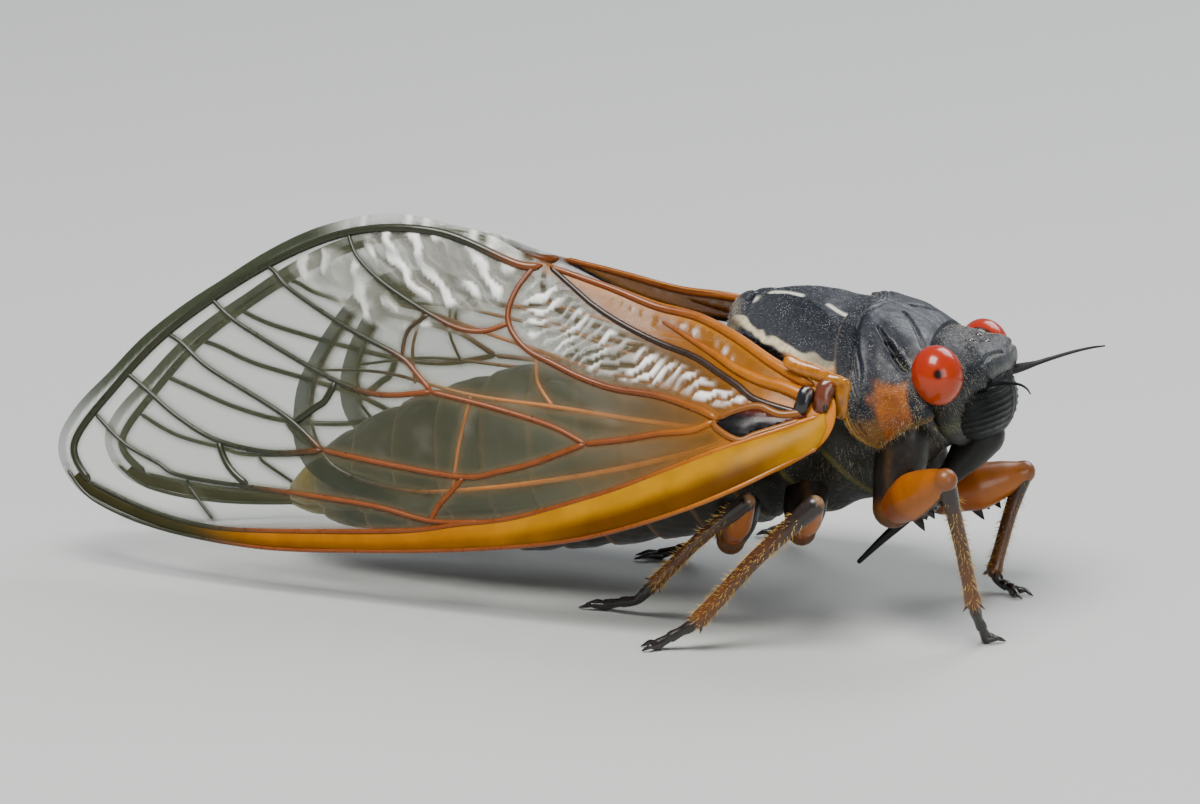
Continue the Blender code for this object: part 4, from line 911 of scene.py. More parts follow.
relief += 0.012 * uneven(base, 5.0)
side_fold = np.sin(base[..., 0] * 2.6 + base[..., 2] * 0.9) * soft_step(angle, 82.0, 96.0)
relief += 0.1 * side_fold * (1.0 - on_pronotum)
shaped = pushed_out(base, relief)
thorax_grid = tucked(body_points(shaped))

flat = base.reshape(-1, 3)
mirror_flat = right_half(base)
phi = angle.ravel()
pro = on_pronotum.ravel()
wobble = uneven(base, 3.0).ravel()
paint = flat_paint(base, (0.0055, 0.0075, 0.0135))
below_edge = past_edge.ravel() + 2.0 * wobble
flank = soft_step(phi, 70.0, 92.0) * (1.0 - pro)
paint = blend(paint, (0.008, 0.007, 0.003), flank)
seam_line = soft_step(side_fold.ravel(), 0.9, 0.98) * (1.0 - pro) * soft_step(phi, 96.0, 106.0)
paint = blend(paint, (0.11, 0.095, 0.012), seam_line * 0.6)
amber = band(below_edge, 2.5, 4.5, 13.0, 19.0) * (1.0 - pro)
amber = amber * soft_step(flat[:, 0], -0.6, 0.3)
paint = blend(paint, (0.40, 0.135, 0.008), amber)
cream = band(below_edge, 0.0, 1.2, 3.4, 6.0) * (1.0 - pro)
cream = cream * soft_step(flat[:, 0], -2.9, -2.0) * (1.0 - 0.6 * soft_step(flat[:, 0], 0.1, 1.4))
paint = blend(paint, (0.50, 0.43, 0.28), cream)
rear = (1.0 - soft_step(flat[:, 0], -2.75, -2.1)) * (1.0 - soft_step(phi, 60.0, 80.0))
paint = blend(paint, (0.20, 0.16, 0.10), rear * (0.5 + 0.4 * wobble))
for line, half_width in CREAM_PATCHES:
    patch = np.exp(-(distance_to(mirror_flat, line) / half_width) ** 4)
    paint = blend(paint, (0.62, 0.60, 0.52), patch * (1.0 - pro) * 0.9)
orange = soft_step(phi + 2.5 * wobble, 67.0, 73.0) * pro
orange = orange * soft_step(flat[:, 0] + 0.2 * wobble, 3.4, 3.8)
orange = orange * (1.0 - soft_step(flat[:, 0] + 0.15 * wobble, 4.85, 5.15))
paint = blend(paint, (0.26, 0.066, 0.0), orange * (0.85 + 0.15 * wobble))
rust = soft_step(phi + 2.0 * wobble, 82.0, 90.0) * pro * (1.0 - orange)
rust = rust * (1.0 - soft_step(flat[:, 0], 4.4, 4.9))
paint = blend(paint, (0.17, 0.070, 0.004), rust * 0.9)
strip = (1.0 - soft_step(behind_collar.ravel() + 0.06 * wobble, 0.22, 0.45)) * pro
paint = blend(paint, (0.27, 0.125, 0.006), strip * soft_step(phi, 62.0, 70.0))
brown_foot = (1.0 - soft_step(above_foot.ravel(), 1.5, 5.0)) * pro
paint = blend(paint, (0.10, 0.052, 0.006), brown_foot * 0.8)
dusty = hump(phi, 68.0, 6.0) * hump(flat[:, 0], 2.9, 0.35) * pro
dusty += hump(phi, 50.0, 14.0) * hump(flat[:, 0], 5.25, 0.22) * pro
paint = blend(paint, (0.14, 0.14, 0.145), dusty * (0.45 + 0.3 * wobble))
# Painted shade: darkened in the grooves between the collar's ridges.
groove_shade = soft_step(-collar_wave, 0.3, 0.9) * on_collar
paint = paint * (1.0 - 0.7 * groove_shade.ravel()[:, None])
rim = hump(behind_collar.ravel(), 0.02, 0.05) * pro
paint = blend(paint, (0.10, 0.075, 0.05), rim * 0.6)
# Painted shade: darkened nearly to black inside the four slanting furrows.
furrow_shade = soft_step(line_relief(base, FURROWS[:4]).ravel(), 0.07, 0.17)
paint = paint * (1.0 - 0.9 * furrow_shade[:, None])
cuticle_look = painted("black_cuticle", 0.42, spread=0.16, grain=5200.0, relief=0.01, speck=0.7,
                       shine=0.32)
thorax = grid_mesh("thorax_skin", [thorax_grid], [paint], cuticle_look)
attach(thorax, "root")
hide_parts("mesonotum", "pronotum", "pterothorax", "prosternum")


# Head capsule: a short wide black shell between the eyes. Its flat crown carries three simple
# eyes, and its front edge forms two ledges that roof the roots of the feelers. It sits in the
# front opening of the pronotum and leans a little to its left.
HEAD_ROLL = math.radians(5.0)
HEAD_ROUND = (220, 0.9)
HEAD_PROFILE = (
    (5.3, 3.45, 2.45, -1.9, 0.06, 0.2), (5.7, 3.78, 2.7, -2.2, 0.06, 0.2),
    (6.0, 3.88, 2.72, -2.2, 0.06, 0.25), (6.4, 3.9, 2.58, -1.95, 0.06, 0.35),
    (7.0, 3.55, 2.28, -0.95, 0.05, 0.36), (7.4, 3.15, 2.1, -0.25, 0.05, 0.26),
    (7.75, 2.6, 1.85, 0.2, 0.04, 0.12), (8.0, 2.1, 1.62, 0.5, 0.03, 0.0),
    (8.16, 1.55, 1.42, 0.68, 0.0, 0.0), (8.24, 1.05, 1.3, 0.8, 0.0, 0.0),
    (8.28, 0.5, 1.18, 0.9, 0.0, 0.0),
)
# Simple eyes: place along and beside the body's middle, radius.
OCELLI = ((7.6, -0.35, 0.15), (7.1, -0.98, 0.15), (7.02, 0.55, 0.15))


def rolled(grid):
    """Places of the leaning head in the body's frame."""
    cos_roll, sin_roll = math.cos(HEAD_ROLL), math.sin(HEAD_ROLL)
    along, side, up = grid[..., 0], grid[..., 1], grid[..., 2]
    return np.stack((along, side * cos_roll + up * sin_roll, up * cos_roll - side * sin_roll),
                    axis=-1)


def ball_grid(centre, radii, rows, sides):
    """Rings of an ellipsoid, in the frame that its centre is given in."""
    lean = np.linspace(0.02, math.pi - 0.02, rows)[:, None]
    turn = np.linspace(0.0, 2.0 * math.pi, sides, endpoint=False)[None, :]
    return np.stack((centre[0] + radii[0] * np.sin(lean) * np.cos(turn),
                     centre[1] + radii[1] * np.sin(lean) * np.sin(turn),
                     centre[2] + radii[2] * np.cos(lean) + 0.0 * turn), axis=-1)


head_alongs = np.concatenate((np.linspace(5.3, 7.6, 46), np.linspace(7.63, 8.28, 34)))
head_base = skin_grid(HEAD_PROFILE, head_alongs, *HEAD_ROUND)
side_of = np.abs(head_base[..., 1])
crown = head_base[..., 2] > 0.4
head_relief = -0.2 * hump(head_base[..., 0], 7.0, 0.75) * hump(side_of, 0.0, 1.5) * crown
ledge = hump(head_base[..., 0], 7.7, 0.35) * hump(side_of, 2.1, 0.5)
head_relief += 0.15 * ledge * (head_base[..., 2] > 0.2)
head_relief -= line_relief(head_base, (
    (((7.62, 2.9, 1.9), (7.75, 2.2, 2.05), (7.85, 1.3, 2.05)), 0.09, 0.13),
    (((7.72, 2.5, 1.2), (7.95, 1.85, 1.48), (8.1, 1.2, 1.5), (8.2, 0.4, 1.42)), 0.13, 0.09),
    (((6.1, 0.0, 2.9), (7.4, 0.0, 2.3), (8.2, 0.0, 1.7)), 0.06, 0.12),
    (((6.1, 1.4, 2.8), (6.8, 1.5, 2.6), (7.4, 1.0, 2.4)), 0.05, 0.1),
))
for along, side, _ in OCELLI:
    away = np.hypot(head_base[..., 0] - along, head_base[..., 1] - side)
    head_relief += 0.07 * hump(away, 0.17, 0.07) * crown
head_relief += 0.014 * uneven(head_base, 6.0)
head_shaped = pushed_out(head_base, head_relief)
head_grid = body_points(rolled(head_shaped))
head_flat = head_base.reshape(-1, 3)
head_paint = flat_paint(head_base, (0.0055, 0.007, 0.011))
head_low = soft_step(-head_flat[:, 2], -0.6, 0.8)
head_paint = blend(head_paint, (0.010, 0.010, 0.005), head_low * 0.8)
dusty_front = soft_step(head_flat[:, 0], 7.45, 7.9) * soft_step(head_flat[:, 2], 0.2, 0.8)
head_paint = blend(head_paint, (0.07, 0.075, 0.082), 0.3 * dusty_front)
cheek = hump(np.abs(head_flat[:, 1]), 2.9, 0.25) * soft_step(-head_flat[:, 2], 0.4, 1.2)
head_paint = blend(head_paint, (0.060, 0.058, 0.008),
                   0.6 * cheek * soft_step(-head_flat[:, 0], -7.0, -6.2))
head = grid_mesh("head_skin", [head_grid], [head_paint], cuticle_look)
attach(head, "root")
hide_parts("head")

lens_look = painted("simple_eye_lens", 0.06, spread=0.05, relief=0.0, coat=1.0, shine=0.8)
lens_grids = []
for along, side, radius in OCELLI:
    nearest = np.argmin(np.hypot(head_base[..., 0] - along, head_base[..., 1] - side)
                        + 9.0 * (head_base[..., 2] < 0.4))
    seat = head_shaped.reshape(-1, 3)[nearest]
    lens = ball_grid(seat + (0.0, 0.0, -0.01), (radius,) * 3, 14, 20)
    lens_grids.append(body_points(rolled(lens)))
lens_paints = [flat_paint(grid, (0.03, 0.006, 0.004)) for grid in lens_grids]
ocelli = grid_mesh("simple_eyes", lens_grids, lens_paints, lens_look)
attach(ocelli, "root")


# Compound eyes: smooth glossy domes of clear lenses over red pigment, set in the sides of the
# head. A dark spot shows deep inside, with a thin black rim where each eye meets the head.
EYE_CENTRE = (6.2, 3.85, 1.22)
EYE_RADII = (1.06, 1.12, 1.24)
EYE_RINGS = (56, 80)           # rings, and points round each
SPOT_RADIUS = 0.19
SPOTS = {"right": (16.99, -4.77, 11.42), "left": (17.14, 4.98, 10.76)}


def eye_material(name, spot):
    """Red eye with a dark spot at a given place and the finest grain of lenses."""
    made, tree, place, paint = new_look(name)
    away = add_node(tree, "ShaderNodeVectorMath", {0: place, 1: tuple(np.asarray(spot) * MM)},
                    operation="DISTANCE").outputs["Value"]
    past_spot = map_range(tree, away, SPOT_RADIUS * 0.6 * MM, SPOT_RADIUS * 1.5 * MM,
                          interpolation_type="SMOOTHSTEP")
    facets = add_node(tree, "ShaderNodeTexVoronoi", {"Vector": place, "Scale": 26000.0})
    set_inputs(tree, tree.nodes["Principled BSDF"], {
        "Base Color": mixed_colour(tree, past_spot, (0.012, 0.002, 0.002, 1.0), paint["Color"]),
        "Normal": relief_normals(tree, facets.outputs["Distance"], 0.0012),
        "Roughness": 0.26, "Specular IOR Level": 0.25, "Coat Weight": 0.42,
        "Coat Roughness": 0.09, "Subsurface Weight": 0.15, "Subsurface Scale": 1.0,
        "Subsurface Radius": (0.5 * MM, 0.12 * MM, 0.03 * MM)})
    return made


for label, sign in SIDES:
    centre = (EYE_CENTRE[0], sign * EYE_CENTRE[1], EYE_CENTRE[2])
    eye_base = ball_grid(centre, EYE_RADII, *EYE_RINGS)
    depth = (sign * eye_base[..., 1] - EYE_CENTRE[1]) / EYE_RADII[1]
    dome = soft_step(eye_base[..., 2], 0.0, 2.2).ravel()
    eye_paint = blend((0.37, 0.040, 0.0), (0.33, 0.015, 0.0), dome)
    eye_paint = blend(eye_paint, (0.015, 0.006, 0.005),
                      (1.0 - soft_step(depth, -0.66, -0.56)).ravel())
    eye = grid_mesh("compound_eye_" + label, [body_points(rolled(eye_base))], [eye_paint],
                    eye_material("eye_" + label, SPOTS[label]))
    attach(eye, "root")
    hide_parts("eye_" + label)


# Swollen face plate: the postclypeus, a black dome with a dozen cross ridges on each side of a
# smooth middle line. Behind it lie the muscles of the sucking pump. It bulges from the front of
# the head under the feelers.
FACE_CENTRE = (6.62, 0.0, -0.36)
FACE_RADII = (1.57, 2.85, 1.76)
FACE_RIDGES = 13
FACE_RINGS = (130, 150)

face_base = ball_grid(FACE_CENTRE, FACE_RADII, *FACE_RINGS)
sideways = np.abs(face_base[..., 1]) / FACE_RADII[1]
height_share = (face_base[..., 2] - FACE_CENTRE[2]) / FACE_RADII[2]
slant = height_share + 0.1 * sideways
ridge = np.abs(np.sin(slant * math.pi * FACE_RIDGES / 2.0)) ** 0.7 - 0.6
ridge = ridge * band(sideways, 0.06, 0.2, 0.93, 1.0)
face_relief = 0.055 * ridge * (1.0 - soft_step(np.abs(height_share), 0.84, 0.97))
face_relief -= 0.03 * hump(sideways, 0.08, 0.05)
face_shaped = pushed_out(face_base, face_relief)
face_paint = flat_paint(face_base, (0.0035, 0.0045, 0.0045))
face_paint = blend(face_paint, (0.008, 0.011, 0.009), soft_step(ridge, 0.15, 0.4).ravel() * 0.5)
face_look = painted("ridged_face", 0.42, spread=0.14, grain=4200.0, relief=0.008, speck=0.16,
                    shine=0.15)
face = grid_mesh("face_plate", [body_points(rolled(face_shaped))], [face_paint], face_look)
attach(face, "root")
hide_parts("clypeus")


# Feelers: each has two stout black joints under its ledge and then a bristle of a few ever
# finer joints. They are fixed in sockets at the front corners of the head.
FEELER_LEFT = (
    (18.0, 1.9, 10.05, 0.24), (18.5, 2.2, 10.07, 0.22), (18.95, 2.42, 10.17, 0.17),
    (19.35, 2.6, 10.28, 0.115), (19.9, 2.85, 10.46, 0.09), (20.8, 3.3, 10.72, 0.068),
    (21.5, 3.68, 10.86, 0.052), (21.98, 3.97, 10.9, 0.035),
)
FEELER_RIGHT = (
    (18.0, -1.7, 10.42, 0.2), (18.5, -1.95, 10.48, 0.17), (18.95, -2.15, 10.58, 0.13),
    (19.3, -2.4, 10.66, 0.085), (19.7, -2.72, 10.74, 0.065), (20.1, -3.1, 10.78, 0.052),
    (20.4, -3.42, 10.72, 0.042), (20.58, -3.66, 10.6, 0.03),
)


def tube_grid(stations, sides, rows):
    """Rings of a smooth tapered tube through stations of place and radius, round at its ends."""
    stations = np.asarray(stations, float)
    lengths = run_lengths(stations[:, :3])
    table = [(length, *station) for length, station in zip(lengths, stations)]
    marks = np.linspace(0.0, lengths[-1], rows)
    centres = np.column_stack([read_curve(table, marks, c) for c in (1, 2, 3)])
    radii = read_curve(table, marks, 4)
    tangents = np.gradient(centres, axis=0)
    tangents /= np.linalg.norm(tangents, axis=1)[:, None]
    bend = np.radians((78.0, 60.0, 42.0, 24.0, 10.0))
    head_centres = centres[0] - tangents[0] * (np.sin(bend) * radii[0])[:, None]
    tail_centres = centres[-1] + tangents[-1] * (np.sin(bend[::-1]) * radii[-1])[:, None]
    centres = np.vstack((head_centres, centres, tail_centres))
    radii = np.concatenate((np.cos(bend) * radii[0], radii, np.cos(bend[::-1]) * radii[-1]))
    tangents = np.vstack((np.tile(tangents[0], (5, 1)), tangents, np.tile(tangents[-1], (5, 1))))
    start = np.array((0.0, 0.0, 1.0)) if abs(tangents[0][2]) < 0.9 else np.array((1.0, 0.0, 0.0))
    across = np.cross(tangents[0], start)
    turn = np.linspace(0.0, 2.0 * math.pi, sides, endpoint=False)
    rings = []
    for centre, radius, tangent in zip(centres, radii, tangents):
        across = across - tangent * (across @ tangent)
        across /= np.linalg.norm(across)
        over = np.cross(tangent, across)
        rings.append(centre + radius * (np.cos(turn)[:, None] * across
                                        + np.sin(turn)[:, None] * over))
    return np.array(rings)


horn_look = painted("black_horn", 0.4, spread=0.14, grain=5000.0, relief=0.01, shine=0.32)
for label, stations in (("left", FEELER_LEFT), ("right", FEELER_RIGHT)):
    feeler_grid = tube_grid(stations, 20, 90)
    feeler_paint = flat_paint(feeler_grid, (0.008, 0.008, 0.009))
    feeler = grid_mesh("feeler_" + label, [feeler_grid], [feeler_paint], horn_look)
    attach(feeler, "root")
    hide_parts("antenna_" + label)


# Beak: the anteclypeus narrows below the face plate into a jointed black sheath that holds the
# piercing mouthparts. It lies back along the underside between the front legs.
BEAK_STATIONS = (
    (17.75, 0.0, 7.75, 0.95), (17.2, 0.0, 7.0, 0.82), (16.6, 0.0, 6.2, 0.55),
    (15.9, 0.0, 5.4, 0.42), (15.3, 0.0, 4.75, 0.32), (14.5, 0.0, 3.85, 0.24),
    (13.5, 0.0, 2.85, 0.17), (12.55, 0.0, 1.85, 0.1),
)
beak_grid = tube_grid(BEAK_STATIONS, 28, 70)
beak = grid_mesh("beak_sheath", [beak_grid], [flat_paint(beak_grid, (0.007, 0.006, 0.006))],
                 horn_look)
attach(beak, "root")
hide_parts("beak")


# Abdomen: nine telescoping rings and a tip, dark olive-brown above with a paler hind rim on each
# ring, rusty beneath. The rings are joined by soft skin that stays hidden under the rims.
ABDOMEN_TIP = -24.2
ABDOMEN_FRONT = -3.1
RING_FRONT = -3.5
RING_REAR = -22.6
RING_COUNT = 9
RING_STEP = 0.16
ABDOMEN_ROUND = (130, 0.92)
ABDOMEN_PROFILE = (
    (-24.2, 0.55, 0.5, -0.5, 0.12, 0.08), (-23.2, 1.35, 1.3, -1.05, 0.12, 0.08),
    (-21.0, 2.45, 2.45, -2.0, 0.12, 0.08), (-18.0, 3.35, 3.3, -3.0, 0.12, 0.08),
    (-14.0, 4.0, 3.85, -3.85, 0.12, 0.08), (-10.0, 4.3, 4.1, -4.2, 0.12, 0.08),
    (-6.0, 4.3, 3.9, -4.25, 0.12, 0.08), (-3.1, 4.05, 3.35, -4.15, 0.12, 0.08),
)
abdomen_alongs = np.linspace(ABDOMEN_TIP, ABDOMEN_FRONT, 260)
abdomen_base = skin_grid(ABDOMEN_PROFILE, abdomen_alongs, *ABDOMEN_ROUND)
ring_share = (RING_FRONT - abdomen_base[..., 0]) / ((RING_FRONT - RING_REAR) / RING_COUNT)
within_ring = ring_share - np.floor(ring_share)
rise_in_ring = soft_step(within_ring, 0.02, 0.5) - soft_step(within_ring, 0.955, 1.0)
abdomen_relief = RING_STEP * (rise_in_ring - 1.0) * soft_step(-abdomen_base[..., 0], 3.2, 4.2)
abdomen_relief += 0.02 * uneven(abdomen_base, 4.0)
abdomen_angle = from_top(abdomen_base)
abdomen_relief -= 0.16 * hump(abdomen_angle, 112.0, 5.0)
abdomen_shaped = pushed_out(abdomen_base, abdomen_relief)
abdomen_grid = tucked(body_points(abdomen_shaped))
abdomen_paint = flat_paint(abdomen_base, (0.014, 0.012, 0.007))
pale_rim = soft_step(within_ring, 0.84, 0.93).ravel()
under = soft_step(abdomen_angle, 100.0, 125.0).ravel()
abdomen_paint = blend(abdomen_paint, (0.15, 0.065, 0.018), pale_rim * (0.3 + 0.6 * under))
abdomen_paint = blend(abdomen_paint, (0.22, 0.16, 0.03),
                      soft_step(-abdomen_base[..., 0], 21.2, 23.4).ravel() * 0.8)
abdomen_look = painted("abdomen_cuticle", 0.42, spread=0.14, grain=2600.0, relief=0.016, coat=0.1,
                       sheen=0.15)
abdomen = grid_mesh("abdomen_skin", [abdomen_grid], [abdomen_paint], abdomen_look)
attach(abdomen, "root")
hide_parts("abdomen")


# Legs: each has a dark hip joint, an orange thigh, a brown shin with bristles and spurs, and a
# slim dark foot of three joints that ends in two claws. The front thighs are thick, with black
# teeth beneath. The joints are hinged by soft skin in their sockets.
# Places of each leg: hip, end of the hip joint, knee, ankle, heel, sole and toe.
LEGS = {
    "fore_right": ((15.2, -3.1, 8.2), (14.9, -3.7, 5.35), (17.75, -6.4, 7.45), (18.6, -4.72, 1.85),
                   (18.75, -4.45, 1.05), (19.0, -4.05, 0.2), (19.5, -3.5, 0.04)),
    "fore_left": ((14.7, 3.1, 7.0), (15.25, 3.5, 3.9), (18.4, 5.0, 4.9), (17.5, 3.6, 0.85),
                  (17.85, 3.45, 0.35), (18.45, 3.2, 0.2), (19.15, 2.8, 0.04)),
    "mid_right": ((10.9, -2.4, 5.4), (11.0, -3.6, 4.0), (12.5, -7.3, 6.2), (7.95, -8.5, 1.25),
                  (7.3, -8.65, 0.75), (6.4, -8.87, 0.21), (5.75, -9.1, 0.04)),
    "hind_right": ((8.0, -2.4, 4.6), (7.9, -3.4, 3.3), (9.15, -5.5, 5.6), (4.95, -4.5, 1.5),
                   (4.1, -4.35, 0.6), (2.7, -4.05, 0.2), (1.6, -3.85, 0.04)),
}
for kind in ("mid", "hind"):
    LEGS[kind + "_left"] = tuple((x, -y, z) for x, y, z in LEGS[kind + "_right"])
FAR_HIP_SLIMMING = 0.72         # the left front hip is drawn up and seen slimmer
FAR_HIP_SETBACK = 0.3
# Radii along the hip joint, thigh and shin, from the body outwards.
COXA_RADII = {"fore": (1.15, 0.85), "mid": (0.95, 0.6), "hind": (0.95, 0.6)}
FEMUR_RADII = {"fore": (0.8, 1.0, 0.55), "mid": (0.45, 0.6, 0.42), "hind": (0.45, 0.58, 0.4)}
TIBIA_RADII = {"fore": (0.36, 0.3, 0.33), "mid": (0.38, 0.33, 0.34), "hind": (0.34, 0.28, 0.3)}
TIBIA_BOW = 0.2
TARSUS_RADIUS = 0.24
FLOOR_CLEAR = 0.012
# Way from ankle to heel (first two) or heel to sole, and thickness as a share of the radius.
FOOT_JOINTS = ((0.0, 0.92), (0.5, 1.05), (0.0, 0.86), (0.45, 0.98), (0.55, 0.8), (1.0, 0.95))
# Teeth under the front thigh: way from hip to knee, length, depth of the root.
THIGH_TEETH = ((0.32, 0.75, 0.8), (0.45, 0.3, 0.84), (0.56, 0.55, 0.72), (0.66, 0.28, 0.66),
               (0.76, 0.34, 0.6))
# Spurs of a shin: way along its lower half, turn round it, length.
ANKLE_SPURS = tuple((1.0, turn, 0.42) for turn in (0.3, 1.5, 2.7, 4.0, 5.2))
HIND_SPURS = ((0.12, 0.2, 0.7), (0.42, 3.2, 0.7), (0.74, 0.3, 0.7))


def along_share(grid):
    """How far along its tube each vertex of a grid lies, from 0 to 1."""
    return np.repeat(np.linspace(0.0, 1.0, grid.shape[0]), grid.shape[1])


def mix_points(a, b, share):
    """A place part of the way from a to b."""
    return tuple(np.asarray(a, float) * (1.0 - share) + np.asarray(b, float) * share)


def limb(start, end, *rows):
    """Stations of a tube between two places, from rows of share of the way and radius."""
    return [(*mix_points(start, end, share), radius) for share, radius in rows]


def thorn(base, tip, radius, sides=10):
    """A sharp cone with its root sunk in."""
    return tube_grid(limb(base, tip, (0.0, radius), (0.5, radius * 0.62), (0.85, radius * 0.26),
                          (1.0, radius * 0.06)), sides, 10)


coxa_look = painted("dark_joint", 0.4, spread=0.2, grain=3200.0, relief=0.03, shine=0.35)
thigh_look = painted("orange_thigh", 0.34, spread=0.08, grain=1600.0, relief=0.01, coat=0.12,
                     shine=0.4)
shin_look = painted("brown_shin", 0.32, spread=0.16, grain=3600.0, relief=0.02, coat=0.2)
claw_look = painted("dark_claw", 0.28, spread=0.14, grain=4000.0, relief=0.01, coat=0.3)
shin_grids = []
for label, route in LEGS.items():
    kind = label.split("_")[0]
    hip, coxa_end, knee, ankle, heel, sole, toe = (np.array(p) for p in route)
    r_hip, r_end = COXA_RADII[kind]
    if label == "fore_left":
        r_hip, r_end = r_hip * FAR_HIP_SLIMMING, r_end * FAR_HIP_SLIMMING
        hip = hip - np.array((FAR_HIP_SETBACK, 0.0, 0.0))
    coxa_grid = tube_grid(limb(hip, coxa_end, (0.0, r_hip * 0.96), (0.5, r_hip * 0.92),
                               (1.0, r_end)), 36, 40)
    coxa_paint = blend((0.009, 0.006, 0.004), (0.11, 0.036, 0.003),
                       soft_step(along_share(coxa_grid), 0.76, 0.95) * 0.8)
    # Painted highlights: three lengthwise orange-brown stripes round each hip joint.
    turns = np.tile(np.linspace(0.0, 2.0 * math.pi, coxa_grid.shape[1], endpoint=False),
                    coxa_grid.shape[0])
    highlight_stripe = soft_step(np.sin(3.0 * turns + 2.0 * along_share(coxa_grid)), 0.75, 0.98)
    coxa_paint = blend(coxa_paint, (0.05, 0.022, 0.004), highlight_stripe * 0.7)
    coxa = grid_mesh("hip_" + label, [coxa_grid], [coxa_paint], coxa_look)
    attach(coxa, "root")
    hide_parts("coxa_" + label)

    r0, r1, r2 = FEMUR_RADII[kind]
    femur_grid = tube_grid(limb(coxa_end, knee, (0.0, r0 * 0.9), (0.2, r0 * 1.04), (0.42, r1),
                                (0.75, (r1 + r2) / 2.0), (0.93, r2 * 1.02), (1.0, r2 * 0.9)),
                           36, 56)
    share = along_share(femur_grid)
    thigh_paint = blend((0.22, 0.045, 0.0), (0.31, 0.082, 0.0), soft_step(share, 0.2, 0.6))
    thigh_paint = blend(thigh_paint, (0.12, 0.04, 0.012), soft_step(share, 0.86, 0.97) * 0.75)
    thigh_paint = blend(thigh_paint, (0.06, 0.025, 0.01),
                        (1.0 - soft_step(share, 0.02, 0.14)) * 0.7)
    grids, paints = [femur_grid], [thigh_paint]
    if kind == "fore":
        ahead = (knee - coxa_end) / np.linalg.norm(knee - coxa_end)
        down = np.array((0.15, 0.0, -1.0))
        down = down - ahead * (down @ ahead)
        down /= np.linalg.norm(down)
        axis = coxa_end + np.clip((femur_grid.reshape(-1, 3) - coxa_end) @ ahead, 0.0,
                                  None)[:, None] * ahead
        spoke = femur_grid.reshape(-1, 3) - axis
        spoke /= np.linalg.norm(spoke, axis=1)[:, None] + 1e-9
        under_edge = soft_step(spoke @ down, 0.9, 0.97) * band(share, 0.2, 0.3, 0.8, 0.9)
        thigh_paint = blend(thigh_paint, (0.010, 0.006, 0.004), under_edge)
        paints[0] = thigh_paint
        for place, length, depth in THIGH_TEETH:
            root = coxa_end + (knee - coxa_end) * place + down * (depth - 0.2)
            tip = root + (down * 0.9 + ahead * 0.3) * (length + 0.2)
            tooth = thorn(root, tip, 0.3, 16)
            grids.append(tooth)
            paints.append(flat_paint(tooth, (0.006, 0.004, 0.004)))
    femur = grid_mesh("thigh_" + label, grids, paints, thigh_look)
    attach(femur, "root")
    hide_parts("femur_" + label)

    q0, q1, q2 = TIBIA_RADII[kind]
    middle = (knee + ankle) / 2.0 + np.array((0.0, 0.0, TIBIA_BOW))
    shin_grid = tube_grid(limb(knee, middle, (0.0, q0 * 1.15), (0.2, q0 * 1.1), (0.45, q0 * 0.95),
                               (1.0, q1))
                          + limb(middle, ankle, (0.8, q1 * 1.02), (0.97, q2 * 1.08),
                                 (1.0, q2 * 0.95)), 30, 80)
    share = along_share(shin_grid)
    shin_paint = blend((0.013, 0.007, 0.005), (0.065, 0.019, 0.003), soft_step(share, 0.12, 0.42))
    shin_paint = blend(shin_paint, (0.11, 0.034, 0.004), soft_step(share, 0.55, 0.85))
    shin_paint = blend(shin_paint, (0.035, 0.012, 0.005), soft_step(share, 0.94, 0.97))
    shin_paint = blend((0.30, 0.17, 0.09), shin_paint, soft_step(share, 0.012, 0.035))
    grids, paints = [shin_grid], [shin_paint]
    run = (ankle - middle) / np.linalg.norm(ankle - middle)
    sideways = np.cross(run, (0.0, 0.0, 1.0))
    sideways /= np.linalg.norm(sideways)
    over = np.cross(sideways, run)
    for place, turn_by, length in ANKLE_SPURS + (HIND_SPURS if kind == "hind" else ()):
        out = math.cos(turn_by) * sideways + math.sin(turn_by) * over
        root = middle + (ankle - middle) * place * 0.98 + out * q2 * 0.55
        spur = thorn(root, root + (out * 0.75 + run * 0.8) * length, 0.085, 8)
        grids.append(spur)
        paints.append(flat_paint(spur, (0.07, 0.022, 0.008)))
    shin = grid_mesh("shin_" + label, grids, paints, shin_look)
    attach(shin, "root")
    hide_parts("tibia_" + label)
    shin_grids.append(shin_grid)

    lifted = np.array((0.0, 0.0, TARSUS_RADIUS * 0.25))
    foot_rows = [(way, TARSUS_RADIUS * size) for way, size in FOOT_JOINTS]
    foot_grid = tube_grid(limb(ankle, heel, *foot_rows[:2])
                          + limb(heel + lifted, sole + lifted, *foot_rows[2:]), 24, 60)
    forward = toe - sole
    across_toe = np.array((-forward[1], forward[0], 0.0))
    across_toe /= np.linalg.norm(across_toe)
    grids = [foot_grid]
    for side in (-1.0, 1.0):
        bend_at = sole + forward * 0.5 + across_toe * side * 0.3 + np.array((0.0, 0.0, 0.12))
        tip = toe + across_toe * side * 0.33 + np.array((0.0, 0.0, 0.03))
        grids.append(tube_grid([(*(sole + across_toe * side * 0.06), 0.19)]
                               + limb(sole, bend_at, (0.7, 0.14), (1.0, 0.11))
                               + limb(bend_at, tip, (0.6, 0.07), (1.0, 0.03)), 14, 26))
    paints = []
    for grid in grids:
        grid[..., 2] = np.maximum(grid[..., 2], FLOOR_CLEAR)
        paints.append(flat_paint(grid, (0.012, 0.008, 0.007)))
    foot = grid_mesh("foot_" + label, grids, paints, claw_look)
    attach(foot, "root")
    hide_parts("tarsus_" + label)


